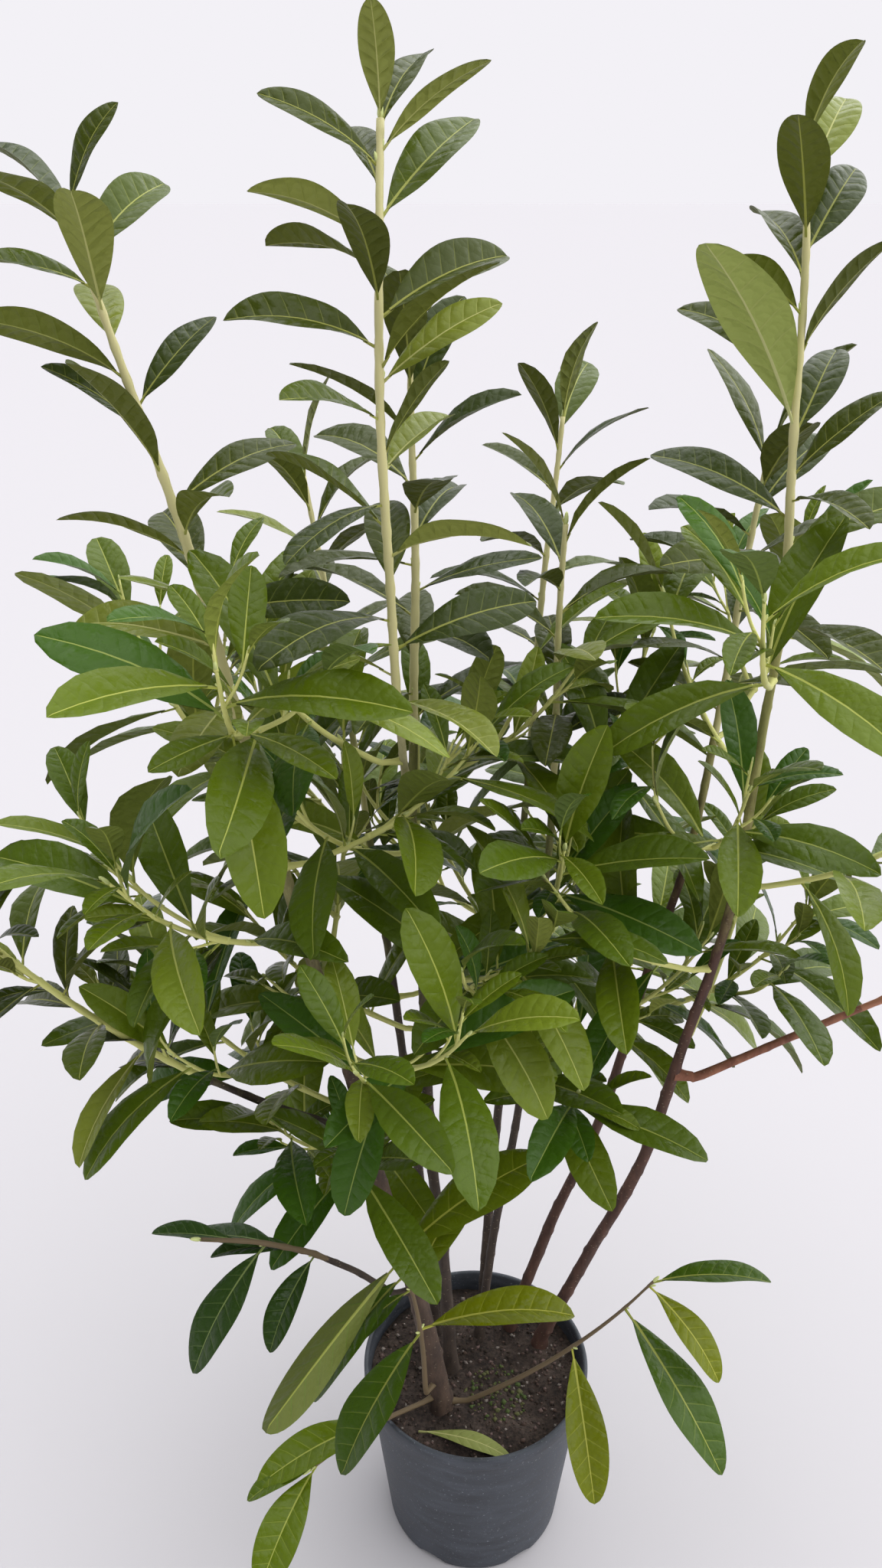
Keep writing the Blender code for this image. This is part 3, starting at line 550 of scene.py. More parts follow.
def bark_tube(limb, phase):
    """Rings round the smoothed axis: r (1 + three slow waves round and along + a swelling at each leaf scar)."""
    axis = smooth_axis(limb["axis"], BARK_RING)
    if "foot" in limb:
        axis[0, 2] -= STEM_SUNK
    else:
        axis = np.vstack([axis[0] - limb["first"] * BOUGH_SUNK * limb["root_girth"], axis])
    distance = runs(axis)[:, None]
    angle = circle(BARK_SIDES)[None]
    radius = limb_radius(limb, distance)
    if "foot" not in limb:
        radius = radius * (1.0 + COLLAR * np.exp(-distance / COLLAR_REACH))
    relief = (0.045 * np.sin(2.0 * angle + 3.0 * np.sin(distance / 0.06 + phase) + phase)
              + 0.030 * np.sin(3.0 * angle - distance / 0.030 + 2.0 * phase)
              + 0.016 * np.sin(5.0 * angle + distance / 0.009 + 3.0 * phase))
    scar = np.mod(distance + 0.01 * phase, SCAR_GAP) - 0.5 * SCAR_GAP
    around = np.cos(angle - SCAR_TURN * np.floor((distance + 0.01 * phase) / SCAR_GAP))
    relief = relief + SCAR_SWELL * np.exp(-(scar / SCAR_HALF) ** 2) * (1.0 + 0.8 * around)
    return rings_of(axis, radius * (1.0 + relief), BARK_SIDES, limb["first"])


def tube_faces(rings, sides):
    """Faces of a closed tube: the grid between its rings, and one flat face at each end."""
    first = np.arange(sides)[None, ::-1]
    last = (rings - 1) * sides + np.arange(sides)[None]
    return [grid_faces(rings, sides), first, last]


def bark(name, old, dark, young, turns_at):
    """Cherry laurel bark: blotches stretched along the stem, dark wrinkles, pale lenticels, and above a height
    the greener skin of younger wood, blended in over some 20 cm."""
    material, shader, place = new_finish(name, old, 0.75, 1.45)
    blotch = noise(stretch(place, 0.28), 9, 5.0, 0.65)
    crosswise = stretch(place, 2.6)
    share = ramp(blotch, 0.36, 0.64)
    height = add(place, "SeparateXYZ", {"Vector": place}).outputs["Z"]
    age = ramp(calc("MULTIPLY_ADD", blotch, 0.22, height), turns_at, turns_at + 0.20)
    wood = blend(age, blend(share, dark, old), blend(share, *young))
    feed(shader, "Base Color", blend(ramp(cells(crosswise, 7), 0.10, 0.17, 0.7, 0.0), wood, "#9a8a72"))
    feed(shader, "Roughness", ramp(blotch, 0.0, 1.0, 0.62, 0.9))
    feed(shader, "Normal", bump(noise(crosswise, 2.4, 4.0, 0.7), 0.7, 0.0006))
    return material


# Old wood is grey-brown and matt. The right-hand stems are redder, and young wood is smooth and
# greenish cream, so that the leaders stand out pale against the leaves.
barks = dict(
    left_stem=bark("grey_brown_bark", "#5c4a3e", "#3f322b", ("#8f8a58", "#b3ac78"), 0.78),
    red=bark("red_brown_bark", "#62453a", "#432e27", ("#8d8a50", "#aaa868"), 0.86),
    back=bark("dark_grey_bark", "#50443b", "#352c27", ("#6f7040", "#8a8a52"), 0.74),
    copper=bark("copper_brown_bark", "#a06c54", "#75493a", ("#a87a52", "#c08c62"), 0.90),
    cream=bark("cream_young_bark", "#a99f72", "#8d8758", ("#b5ad80", "#cdc59a"), 0.80),
)
bark_of = dict(left_stem="left_stem", left_bough="back", low_left_bough="back", front_leader="cream",
               red_stem="red", right_stem="red", right_bough="copper")

limbs = {}
for keys, rows in ((STEM_KEYS, STEMS), (BOUGH_KEYS, BOUGHS)):
    for row in rows:
        limb = dict(zip(keys, row), **OWN.get(row[0], {}))
        if "foot" in limb:
            limb.update(start=np.array([*limb["foot"], SOIL_TOP + CLEAR]), first=np.array([0.0, 0.0, 1.0]))
        else:
            parent = limbs[limb["parent"]]
            limb["start"], limb["first"] = side_root(parent, limb["at"], limb["bearing"])
            limb["root_girth"] = float(limb_radius(parent, limb["at"] * parent["bare"]))
        lay_out_limb(limb)
        limbs[limb["name"]] = limb
for index, (name, limb) in enumerate(limbs.items()):
    rings = bark_tube(limb, 1.3 * index)
    finish = barks[bark_of.get(name, "back")]
    piece = new_piece(name + "_bark", rings, tube_faces(len(rings), BARK_SIDES), [finish], sharp=60)
    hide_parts(name)
    "stem_bark" if "foot" in limb else "bough_bark"


# Growth of the leafy shoots
# Each limb ends in a leafy top, twigs leave the stems all round it, and leaves stand on them in a
# spiral, each turned to the light. A twig or leaf that would touch another is turned aside or left out.
SPIRAL = 144.0
SPIRAL_SWING = 14.0
OPENING = 74.0
CLOSING = 54.0
OPENING_SWING = 9.0
CROWDING = 1.15
FULLNESS = (0.30, 0.85)
SIZE_SWING = (0.88, 1.10)
FLATTENING = 0.65
SKYWARD = 0.9
TILT_SWING = 0.25
SHOOT_SPIRAL = 137.5
SHOOT_BARE = 0.05
FORK_AT = 0.36
FORK_LENGTH = 0.56
FORK_SWING = 52
NUDGES = (0, 12, -12, 24, -24, 36, -36, 50, -50)
TWIG_RADIUS = 0.0027
TWIG_TIP = 0.0011
LEADER_TIP = 0.0020
TWIG_ROOM = 0.0045
LEAF_MARGIN = 0.0008
LEAF_GAP = 0.0225
LEADER_GAP = 0.019
LEADER_BARE = 0.02
LEAF_LONG = 0.126
LEADER_LEAF = 0.108
LEAF_SHORT = 0.074
LEAF_ASPECT = (0.32, 0.39)
LEAF_LOW = 0.38
LEAF_HIGH = 0.75
LEAF_SHOULDER = 0.90
LEAF_ARCH = (0.40, 0.85)
LEAF_LIFT = 0.25
LEAF_KEEL = 0.08
LEAF_BACK = 0.0012
ROOT_DEPTH = 0.0006
TIP_INSET = 0.002
TRIES = ((0, 0, 1.0), (22, -8, 1.0), (-22, 8, 1.0), (44, 10, 0.92), (-44, -10, 0.92), (70, 0, 0.85),
         (-70, 0, 0.85))
LOWEST = 0.035
SEED = 7391

LOW_TWIGS = [
    dict(name="front_twig", parent="left_stem", at=0.055, bearing=-118, rise=(90, 68), leafy=0.26,
         finish="yellowing", tints=(2, 0, 1, 2, 2, 2, 1),
         leaves=[(44, -128, -22, 140), (46, 7, 12, 150), (72, 56, 42, 110), (74, -150, -20, 90), (86, -140, -26, 128),
             (97, -134, -22, 172, 140, 1.5), (100, 27, 30, 152)]),
    dict(name="front_low_twig", parent="left_stem", at=0.026, bearing=-146, rise=(24, -20), leafy=0.145,
         finish="mature",
         leaves=[(40, -150, 10, 130), (90, -152, 4, 80), (96, -120, -18, 110), (100, -140, 2, 100)]),
    dict(name="low_right_twig", parent="left_stem", at=0.010, bearing=-8, rise=(36, 60), leafy=0.285,
         finish="yellowing", tints=(0, 2, 0, 2),
         leaves=[(56, -84, -28, 132), (84, -58, -22, 158), (98, -48, -18, 100), (100, -4, 16, 108)]),
]
SIDE_SHOOTS = [dict(zip(("parent", "count", "span", "bearing", "length", "rise", "fork"), row)) for row in (
    ("left_stem", 7, (0.52, 1.0), 170, (0.22, 0.19), (16, 58), 1),
    ("centre_stem", 5, (0.6, 0.95), 175, (0.21, 0.18), (16, 62), 1),
    ("front_leader", 1, (0.65, 0.65), -165, (0.17, 0.17), (24, 70), 0),
    ("middle_stem", 4, (0.58, 0.98), -5, (0.22, 0.19), (18, 64), 0),
    ("red_stem", 5, (0.46, 0.99), -140, (0.20, 0.20), (16, 66), 1),
    ("right_stem", 5, (0.54, 0.97), 60, (0.21, 0.19), (14, 62), 0),
    ("back_left_stem", 3, (0.42, 0.95), 225, (0.23, 0.20), (16, 60), 1),
    ("back_right_stem", 3, (0.5, 0.95), 20, (0.23, 0.20), (16, 60), 1),
)]


def leaf_room(leaf, margin=0.0):
    """Seven points and ten faces that hold a leaf: flat above, keeled below, drooping by arch s^2 / 2."""
    ahead, face = leaf["ahead"], leaf["face"]
    across = np.cross(ahead, face)
    half = 0.5 * leaf["length"] * leaf["aspect"]
    low, high, tip = [leaf["root"] + leaf["length"] * (ahead * s - face * 0.5 * leaf["arch"] * s ** 2)
                      for s in (LEAF_LOW, LEAF_HIGH, 1.0)]
    wide = across * (half + margin)
    narrow = across * (LEAF_SHOULDER * half + margin)
    lift = face * margin
    points = [leaf["root"] - ahead * (ROOT_DEPTH + margin), low + wide + lift, low - wide + lift,
              low - face * (LEAF_KEEL * half + LEAF_BACK) - lift, high + narrow + lift, high - narrow + lift,
              tip + ahead * margin]
    return np.array(points), LEAF_ROOM_FACES


LEAF_ROOM_FACES = [(0, 1, 2), (1, 2, 5), (1, 5, 4), (4, 5, 6), (0, 3, 1), (0, 3, 2), (1, 3, 4), (2, 3, 5),
                   (3, 4, 6), (3, 5, 6)]


def tube_room(points, radii, sides, first):
    """Points and faces of a plain tube round an axis."""
    rings = rings_of(points, radii, sides, first)
    return rings.reshape(-1, 3), [tuple(face) for part in tube_faces(len(points), sides) for face in part.tolist()]


def make_leaf(shoot, distance, ahead, light, size, rng):
    """A leaf rooted in its shoot's axis, its face to the light; the more it arches, the steeper it starts."""
    aspect, arch = rng.uniform(*LEAF_ASPECT), rng.uniform(*LEAF_ARCH)
    face = unit(light - ahead * (light @ ahead))
    ahead = unit(ahead + face * LEAF_LIFT * arch)
    face = unit(face - ahead * (face @ ahead))
    root, stem = along(shoot["axis"], distance)
    return dict(root=root, ahead=ahead, face=face, length=size, stem=stem, aspect=aspect, arch=arch)


def spiral_leaves(shoot, rng):
    """Leaves in a spiral, wide open at the shoot's foot and closing round its bud, each as a list of places to try."""
    start = shoot["leaf_from"]
    end = runs(shoot["axis"])[-1]
    count = max(3, round((end - start) / shoot["leaf_gap"]))
    turn = rng.uniform(0.0, 360.0)
    for index in range(count):
        share = index / (count - 1)
        distance = start + (end - start) * (1.0 - (1.0 - share) ** CROWDING) - TIP_INSET * share
        stem = along(shoot["axis"], distance)[1]
        level = 1.0 - abs(stem[2])
        side_way = unit(np.cross(stem, (0.0, 1.0, 0.0) if level < 0.01 else (0.0, 0.0, 1.0)))
        upper = np.cross(side_way, stem)
        turn += SPIRAL + rng.uniform(-SPIRAL_SWING, SPIRAL_SWING)
        opening = OPENING - CLOSING * share ** 3 + rng.uniform(-OPENING_SWING, OPENING_SWING)
        fullness = np.sin(np.pi * (FULLNESS[0] + (FULLNESS[1] - FULLNESS[0]) * share))
        size = (LEAF_SHORT + (shoot["leaf_long"] - LEAF_SHORT) * fullness) * rng.uniform(*SIZE_SWING)
        places = []
        for nudge, closing, scale in TRIES:
            angle = np.radians(turn + nudge)
            out = side_way * np.cos(angle) + upper * np.sin(angle) * (1.0 - FLATTENING * level)
            spread = np.radians(opening + closing)
            ahead = unit(stem * np.cos(spread) + unit(out) * np.sin(spread))
            light = stem * (1.0 - 0.8 * level) + np.array([0.0, 0.0, SKYWARD])
            light = light + out * rng.uniform(-TILT_SWING, TILT_SWING)
            places.append(make_leaf(shoot, distance, ahead, light, size * scale, rng))
        yield places


def placed_leaves(shoot, rng):
    """Leaves of a shoot that lists them: per cent of its length, bearing, rise, length in mm, roll and fold."""
    end = runs(shoot["axis"])[-1]
    for percent, bearing, rise, size_mm, *turned in shoot["leaves"]:
        share, size = percent / 100, size_mm / 1000
        ahead = heading(bearing, rise)
        light = np.array([0.0, 0.0, 1.0])
        if turned:
            turn = np.radians(turned[0])
            light = (light * np.cos(turn) + np.cross(ahead, light) * np.sin(turn)
                     + ahead * (ahead @ light) * (1.0 - np.cos(turn)))
        distance = end * share - TIP_INSET * share
        yield [dict(make_leaf(shoot, distance, ahead, light, size * scale, rng), fold=(turned + [0.0, 0.0])[1])
               for scale in (1.0, 0.85)]


class Neighbours:
    """Everything grown so far, to ask whether a new twig or leaf touches any of it."""

    def __init__(self):
        self.trees, self.owners = [], []
        self.lows, self.highs = np.empty((0, 3)), np.empty((0, 3))

    def add(self, owner, points, faces):
        self.trees.append(BVHTree.FromPolygons(points.tolist(), faces))
        self.owners.append(owner)
        self.lows = np.vstack([self.lows, points.min(axis=0)])
        self.highs = np.vstack([self.highs, points.max(axis=0)])

    def touches(self, points, faces, but=()):
        near = np.all((self.lows <= points.max(axis=0)) & (self.highs >= points.min(axis=0)), axis=1)
        tree = BVHTree.FromPolygons(points.tolist(), faces)
        return any(self.owners[index] not in but and self.trees[index].overlap(tree)
                   for index in np.flatnonzero(near))


def list_twig(shoot, neighbours):
    """List the shoot's stem with the neighbours, as a three-sided tube."""
    distances = runs(shoot["axis"])
    radii = shoot["girth"][0] + (shoot["girth"][1] - shoot["girth"][0]) * distances / distances[-1]
    neighbours.add(shoot["name"], *tube_room(shoot["axis"], radii, 3, shoot["first"]))


def way_is_free(axis, first, owner, neighbours):
    """Whether a twig along this axis keeps its room from everything but the one it grows from."""
    return not neighbours.touches(*tube_room(axis, [TWIG_ROOM] * len(axis), 6, first), but=(owner,))


def side_shoot(row, index, neighbours):
    """One side shoot in its spiral, turned aside where its way is blocked, or else left out."""
    parent = limbs[row["parent"]]
    share = index / max(1, row["count"] - 1)
    at = row["span"][0] + (row["span"][1] - row["span"][0]) * share
    length = row["length"][0] + (row["length"][1] - row["length"][0]) * share
    for nudge in NUDGES:
        bearing = row["bearing"] + SHOOT_SPIRAL * index + nudge
        start, first = side_root(parent, at, bearing)
        axis = grow_path(start, first, bearing, row["rise"], length, TWIG_RING)
        if way_is_free(axis, first, row["parent"], neighbours):
            return dict(name="foliage_" + row["parent"] + "_" + str(index + 1), axis=axis, first=first,
                        bearing=bearing, rise=row["rise"], girth=(TWIG_RADIUS, TWIG_TIP),
                        leaf_from=SHOOT_BARE, leaf_gap=LEAF_GAP, leaf_long=LEAF_LONG, kind="side",
                        fork=row["fork"] * (-1) ** index)
    return None


def fork_shoot(shoot, neighbours):
    """A second twig out of the first, swung to one side and shorter, where nothing is in its way."""
    length = runs(shoot["axis"])[-1]
    start, stem = along(shoot["axis"], FORK_AT * length)
    for swing in (FORK_SWING, 0.6 * FORK_SWING, -FORK_SWING, -0.6 * FORK_SWING):
        bearing = shoot["bearing"] + swing * shoot["fork"]
        first = heading(bearing, shoot["rise"][0])
        axis = grow_path(start, first, bearing, shoot["rise"], FORK_LENGTH * length, TWIG_RING)
        if way_is_free(axis, first, shoot["name"], neighbours):
            side = dict(shoot, axis=axis, first=first, girth=(0.8 * TWIG_RADIUS, TWIG_TIP),
                        leaf_from=0.5 * SHOOT_BARE)
            list_twig(side, neighbours)
            shoot["side"] = side
            return


def grow_leaves(shoot, places_of, neighbours, rng, box=((-9.0, -9.0, LOWEST), (9.0, 9.0, 9.0))):
    """Leaves of a shoot: each takes its first place inside the box where it touches nothing, or is left out."""
    leaves = []
    for index, places in enumerate(places_of(shoot, rng)):
        for leaf in places:
            points, faces = leaf_room(leaf, LEAF_MARGIN)
            inside = np.all(points >= box[0]) and np.all(points <= box[1])
            if inside and not neighbours.touches(points, faces, but=(shoot["name"],)):
                leaves.append(dict(leaf, index=index))
                neighbours.add(shoot["name"] + "_leaf", points, faces)
                break
    return leaves


neighbours = Neighbours()
for name in ["pot", "soil"] + list(limbs):
    mesh = frame["nodes"][name].data
    corners = np.empty(3 * len(mesh.vertices))
    mesh.vertices.foreach_get("co", corners)
    neighbours.add(name, corners.reshape(-1, 3), [tuple(face.vertices) for face in mesh.polygons])

shoots = []
for limb in limbs.values():
    first = unit(limb["axis"][-1] - limb["axis"][-2])
    shoots.append(dict(limb, name="foliage_" + limb["name"] + "_top", axis=limb["top"], first=first, kind="top",
                       girth=(limb["girth"][1], LEADER_TIP), leaf_from=LEADER_BARE, leaf_gap=LEADER_GAP,
                       leaf_long=LEADER_LEAF))
for row in LOW_TWIGS:
    start, first = side_root(limbs[row["parent"]], row["at"], row["bearing"])
    axis = grow_path(start, first, row["bearing"], row["rise"], row["leafy"], TWIG_RING)
    shoots.append(dict(row, name="foliage_" + row["name"], axis=axis, first=first, kind="low",
                       girth=(TWIG_RADIUS, TWIG_TIP)))
for shoot in shoots:
    list_twig(shoot, neighbours)
for row in SIDE_SHOOTS:
    for index in range(row["count"]):
        shoot = side_shoot(row, index, neighbours)
        if shoot:
            list_twig(shoot, neighbours)
            shoots.append(shoot)
for shoot in shoots:
    if shoot.get("fork"):
        fork_shoot(shoot, neighbours)
for index, shoot in enumerate(shoots):
    rng = random.Random(SEED + index)
    for twig in [shoot] + ([shoot["side"]] if "side" in shoot else []):
        twig["grown"] = grow_leaves(twig, placed_leaves if "leaves" in twig else spiral_leaves, neighbours, rng)


# Finer growth
# Short spurs stand in every second leaf axil of the side shoots and carry a few small leaves. They
# stay inside the reach of the mass that they grow in, and clear of everything else.
SPUR_LENGTH = (0.028, 0.055)
SPUR_LEAF = (0.050, 0.082)
SPUR_LEAVES = (3, 3, 4)
SPUR_GIRTH = (0.0012, 0.0008)
SPUR_REACH = 0.004
SPUR_START = 0.0015
SPUR_RING = 0.02
SPUR_SWING = 20.0
SPUR_BEND = 25.0
SPUR_STEEPEST = 80.0
SPUR_END = 0.98
SPUR_NUDGES = (0, 40, -40, 80, -80)
SPUR_OPENING = 62.0
SPUR_CLOSING = 40.0


def spur_leaves(spur, rng):
    """Three or four leaves in a spiral, closing towards the spur's tip, each with five places to try."""
    count = rng.choice(SPUR_LEAVES)
    turn = rng.uniform(0.0, 360.0)
    for index in range(count):
        share = (index + 1) / count
        distance = spur["length"] * share * SPUR_END
        stem = along(spur["axis"], distance)[1]
        side_way = unit(np.cross(stem, (0.0, 0.0, 1.0) if abs(stem[2]) < 0.95 else (0.0, 1.0, 0.0)))
        upper = np.cross(side_way, stem)
        turn += SPIRAL + rng.uniform(-SPUR_SWING, SPUR_SWING)
        spread = np.radians(SPUR_OPENING - SPUR_CLOSING * share ** 2 + rng.uniform(-8.0, 8.0))
        size = rng.uniform(*SPUR_LEAF)

        def place(nudge):
            angle = np.radians(turn + nudge)
            out = side_way * np.cos(angle) + 0.6 * upper * np.sin(angle)
            ahead = unit(stem * np.cos(spread) + unit(out) * np.sin(spread))
            return make_leaf(spur, distance, ahead, stem * 0.4 + np.array([0.0, 0.0, SKYWARD]), size, rng)

        yield (place(nudge) for nudge in SPUR_NUDGES)


def grow_spur(shoot, leaf, box, rng):
    """A spur that leaves the axil between leaf and stem, if two or more of its leaves find room."""
    first = unit(leaf["ahead"] + 0.9 * leaf["stem"] + np.array([0.0, 0.0, 0.35]))
    length = rng.uniform(*SPUR_LENGTH)
    bearing = np.degrees(np.arctan2(first[1], first[0])) + rng.uniform(-SPUR_BEND, SPUR_BEND)
    rise = np.degrees(np.arcsin(first[2]))
    axis = grow_path(leaf["root"] + first * SPUR_START, first, bearing,
                     (rise, min(SPUR_STEEPEST, rise + SPUR_BEND)), length, SPUR_RING)
    spur = dict(name=shoot["name"], axis=axis, first=first, girth=SPUR_GIRTH, kind="spur", length=length)
    spur["grown"] = grow_leaves(spur, spur_leaves, neighbours, rng, box)
    return spur if len(spur["grown"]) > 1 else None


for index, shoot in enumerate(shoots):
    shoot["spurs"] = []
    if shoot["kind"] != "side" and shoot["name"] not in ("foliage_left_bough_top", "foliage_right_bough_top"):
        continue
    rng = random.Random(SEED + 500 + index)
    low, high = [np.array(corner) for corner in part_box(shoot["name"])]
    for twig in [shoot] + ([shoot["side"]] if "side" in shoot else []):
        for leaf in twig["grown"][1::2]:
            spur = grow_spur(shoot, leaf, (low - SPUR_REACH, high + SPUR_REACH), rng)
            if spur:
                shoot["spurs"].append(spur)


# Twigs and buds
# Green wood of this and last year: round, smooth and slightly swollen at each leaf root, with a
# pointed bud in the leaf axils and at the tips. Each twig grows out of its limb or its parent twig.
TWIG_SIDES = 8
TWIG_STEP = 0.007
TWIG_SUNK = 0.0022
TWIG_COLLAR = 0.6
TWIG_COLLAR_REACH = 0.0035
LEAF_SWELL = 0.22
LEAF_SWELL_REACH = 0.0042
BUD_LONG = (0.0045, 0.0085)
TIP_BUD = (0.008, 0.012)
SPUR_BUD = 0.005
BUD_ASPECT = 0.36
BUD_SIDES = 6
BUD_ROWS = (0.06, 0.3, 0.6, 0.85)
BUD_POINTS = 2 + BUD_SIDES * len(BUD_ROWS)

TWIG_KINDS = dict(top="cream", side="olive", spur="olive", low="brown")
BOUGH_TIPS = dict(foliage_left_bough_top="olive", foliage_low_left_bough_top="brown", foliage_right_bough_top="red")


def twig_rings(twig, leaves):
    """Rings round the smoothed axis: the radius falls by share ** 1.6, and swells at its foot and each leaf root."""
    axis = smooth_axis(twig["axis"], TWIG_STEP)
    axis = np.vstack([axis[0] - twig["first"] * TWIG_SUNK, axis])
    distance = runs(axis)
    share = distance / distance[-1]
    low, high = twig["girth"]
    radius = low + (high - low) * share ** 1.6
    if twig["kind"] != "top":
        radius = radius * (1.0 + TWIG_COLLAR * np.exp(-distance / TWIG_COLLAR_REACH))
    for leaf in leaves:
        gap = np.linalg.norm(axis - leaf["root"], axis=1)
        radius = radius * (1.0 + LEAF_SWELL * np.exp(-(gap / LEAF_SWELL_REACH) ** 2))
    return rings_of(axis, radius, TWIG_SIDES, twig["first"])


def twigs_of(shoot):
    """A shoot's own twig, its side twig and its spurs."""
    return [shoot] + ([shoot["side"]] if "side" in shoot else []) + shoot["spurs"]


def joined(parts):
    """Points and faces of several closed pieces as one: each one's faces count from its own first point."""
    points, faces, start = [], [], 0
    for part_points, part_faces in parts:
        points.append(part_points.reshape(-1, 3))
        faces.extend(face + start for face in part_faces)
        start += len(points[-1])
    return np.vstack(points), faces


def waxed(name, colour, roughness, wax, size, swing):
    """Plant skin of a plain colour under wax that is uneven in gloss: roughness - 0.07 to + 0.12 for a swing of
    (0.07, 0.12), by clouds of this size in mm."""
    material, shader, place = new_finish(name, colour, roughness, 1.45)
    shader.inputs["Specular IOR Level"].default_value = wax
    feed(shader, "Roughness", ramp(noise(place, size, 3.0), 0.3, 0.7, roughness - swing[0], roughness + swing[1]))
    return material, shader, place


def green_skin(name, colour, roughness, grain):
    """Rind: waxed skin with a fine relief at the grain's size in mm."""
    material, shader, place = waxed(name, colour, roughness, 0.4, 14, (0.07, 0.12))
    feed(shader, "Normal", bump(noise(place, grain, 2.0), 0.3, 0.0004))
    return material


# Young rind: a smooth satin skin. Cream on the leaders, olive on side shoots, brown on low twigs and
# red on the bough that grows into the sun.
rinds = dict(cream=green_skin("cream_rind", "#cfc890", 0.5, 3), olive=green_skin("olive_rind", "#d8d884", 0.5, 3),
             brown=green_skin("brown_rind", "#6c5c44", 0.62, 2), red=green_skin("red_rind", "#b47c60", 0.5, 3))
for kind, rind in rinds.items():
    group = [shoot for shoot in shoots if BOUGH_TIPS.get(shoot["name"], TWIG_KINDS[shoot["kind"]]) == kind]
    tubes = []
    for shoot in group:
        for twig in twigs_of(shoot):
            rings = twig_rings(twig, twig["grown"])
            tubes.append((rings, tube_faces(len(rings), TWIG_SIDES)))
    points, faces = joined(tubes)
    piece = new_piece("twigs_" + kind, points, faces, [rind])
    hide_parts(*[shoot["name"] for shoot in group])


def bud_points(feet, ways, lengths):
    """Teardrops: rings of radius 0.18 L f(t) at t L along each way, f = sqrt(sin(pi t ** 0.7)), six sides."""
    t = np.array(BUD_ROWS)
    radius = BUD_ASPECT * 0.5 * np.sqrt(np.sin(np.pi * t ** 0.7))
    side_way = unit(np.cross(ways, np.array([0.31, 0.22, 0.92])))
    across = np.cross(ways, side_way)
    angle = circle(BUD_SIDES)[:, None]
    ring = side_way[:, None] * np.cos(angle) + across[:, None] * np.sin(angle)
    body = (feet[:, None, None] + lengths[:, None, None, None]
            * (ways[:, None, None] * t[:, None, None] + radius[:, None, None] * ring[:, None]))
    tips = feet + ways * lengths[:, None]
    return np.concatenate([feet[:, None], body.reshape(len(feet), -1, 3), tips[:, None]], axis=1)


# Bud scales: pale yellow-green and waxy, the lightest points along the leaders.
scales = green_skin("bud_scales", "#d0d890", 0.42, 1.5)
feet, ways, lengths = [], [], []
rng = random.Random(SEED + 900)
for shoot in shoots:
    for twig in twigs_of(shoot):
        tip, stem = along(twig["axis"], runs(twig["axis"])[-1])
        feet.append(tip - stem * 0.001)
        ways.append(stem)
        lengths.append(rng.uniform(*TIP_BUD) if twig["kind"] != "spur" else SPUR_BUD)
        for leaf in twig["grown"]:
            way = unit(leaf["ahead"] + 1.3 * leaf["stem"])
            feet.append(leaf["root"] + way * 0.0012)
            ways.append(way)
            lengths.append(rng.uniform(*BUD_LONG) * (1.0 if twig["kind"] != "spur" else 0.6))
points = bud_points(np.array(feet), np.array(ways), np.array(lengths))
faces = [repeated(part, len(feet), BUD_POINTS) for part in turned_faces(len(BUD_ROWS), BUD_SIDES)]
buds = new_piece("buds", points, faces, [scales])


# Leaves
# Leathery evergreen blades, widest past the middle, with a short point, a pale sunken midrib,
# quilted side veins and rolled margins. Each hangs on a short stalk fused to its twig.
STALK_SHARE = 0.09
PLAIN_ROWS = 7
VEIN_PAIRS = 8
VEIN_WIDE = 0.0052
WIDEST = (0.95, 0.64)
RIB_HALF = 0.0009
VEIN_HIGH = 0.00055
VEIN_SLANT = 0.42
FOLD = (0.20, 0.62)
ROLL = (0.05, 0.22)
TWIST = (-22.0, 22.0)
BEND = (-0.06, 0.06)
CURL = (-0.02, 0.24)
CURL_FROM = 0.45
MARGIN_WAVE = (0.03, 0.09)
DOME = 0.20
RIB_SIDE = 0.02
FLANK = 0.52
LONG = 0.12
RIB_DEEP = 0.0011
BLADE_THICK = 0.00045
STALK_RADIUS = 0.00115
CORNERS = 8
PILLOW_HIGH = 0.0052
NET_HIGH = 0.0013
GRAIN_HIGH = 0.0003


def blade_half(t):
    """Half width over its largest: t^0.95 (1 - t)^0.64, scaled to 1 where it is widest, at t = 0.60."""
    a, b = WIDEST
    peak = (a / (a + b)) ** a * (b / (a + b)) ** b
    return np.clip(t, 0.0, 1.0) ** a * np.clip(1.0 - t, 0.0, 1.0) ** b / peak


def leaf_rows(fine):
    """Place v, half width of vein and lift of each row of points: evenly spaced, or for a fine leaf two rows at the
    sides of each side vein and a raised one past it, v = (k + 1/2) / 8 at vein k and (k + 1) / 8 past it."""
    if not fine:
        places = np.linspace(0.0, 1.0, PLAIN_ROWS)
        return places, np.zeros(PLAIN_ROWS), np.zeros(PLAIN_ROWS)
    vein = (np.arange(VEIN_PAIRS) + 0.5) / VEIN_PAIRS
    places = np.concatenate([[0.0], np.stack([vein, vein, vein + 0.5 / VEIN_PAIRS], axis=-1).ravel()])
    aside = np.concatenate([[0.0], np.tile([-VEIN_WIDE, VEIN_WIDE, 0.0], VEIN_PAIRS)])
    return places, aside, np.concatenate([[0.0], np.tile([-1.0, -1.0, 1.0], VEIN_PAIRS)])


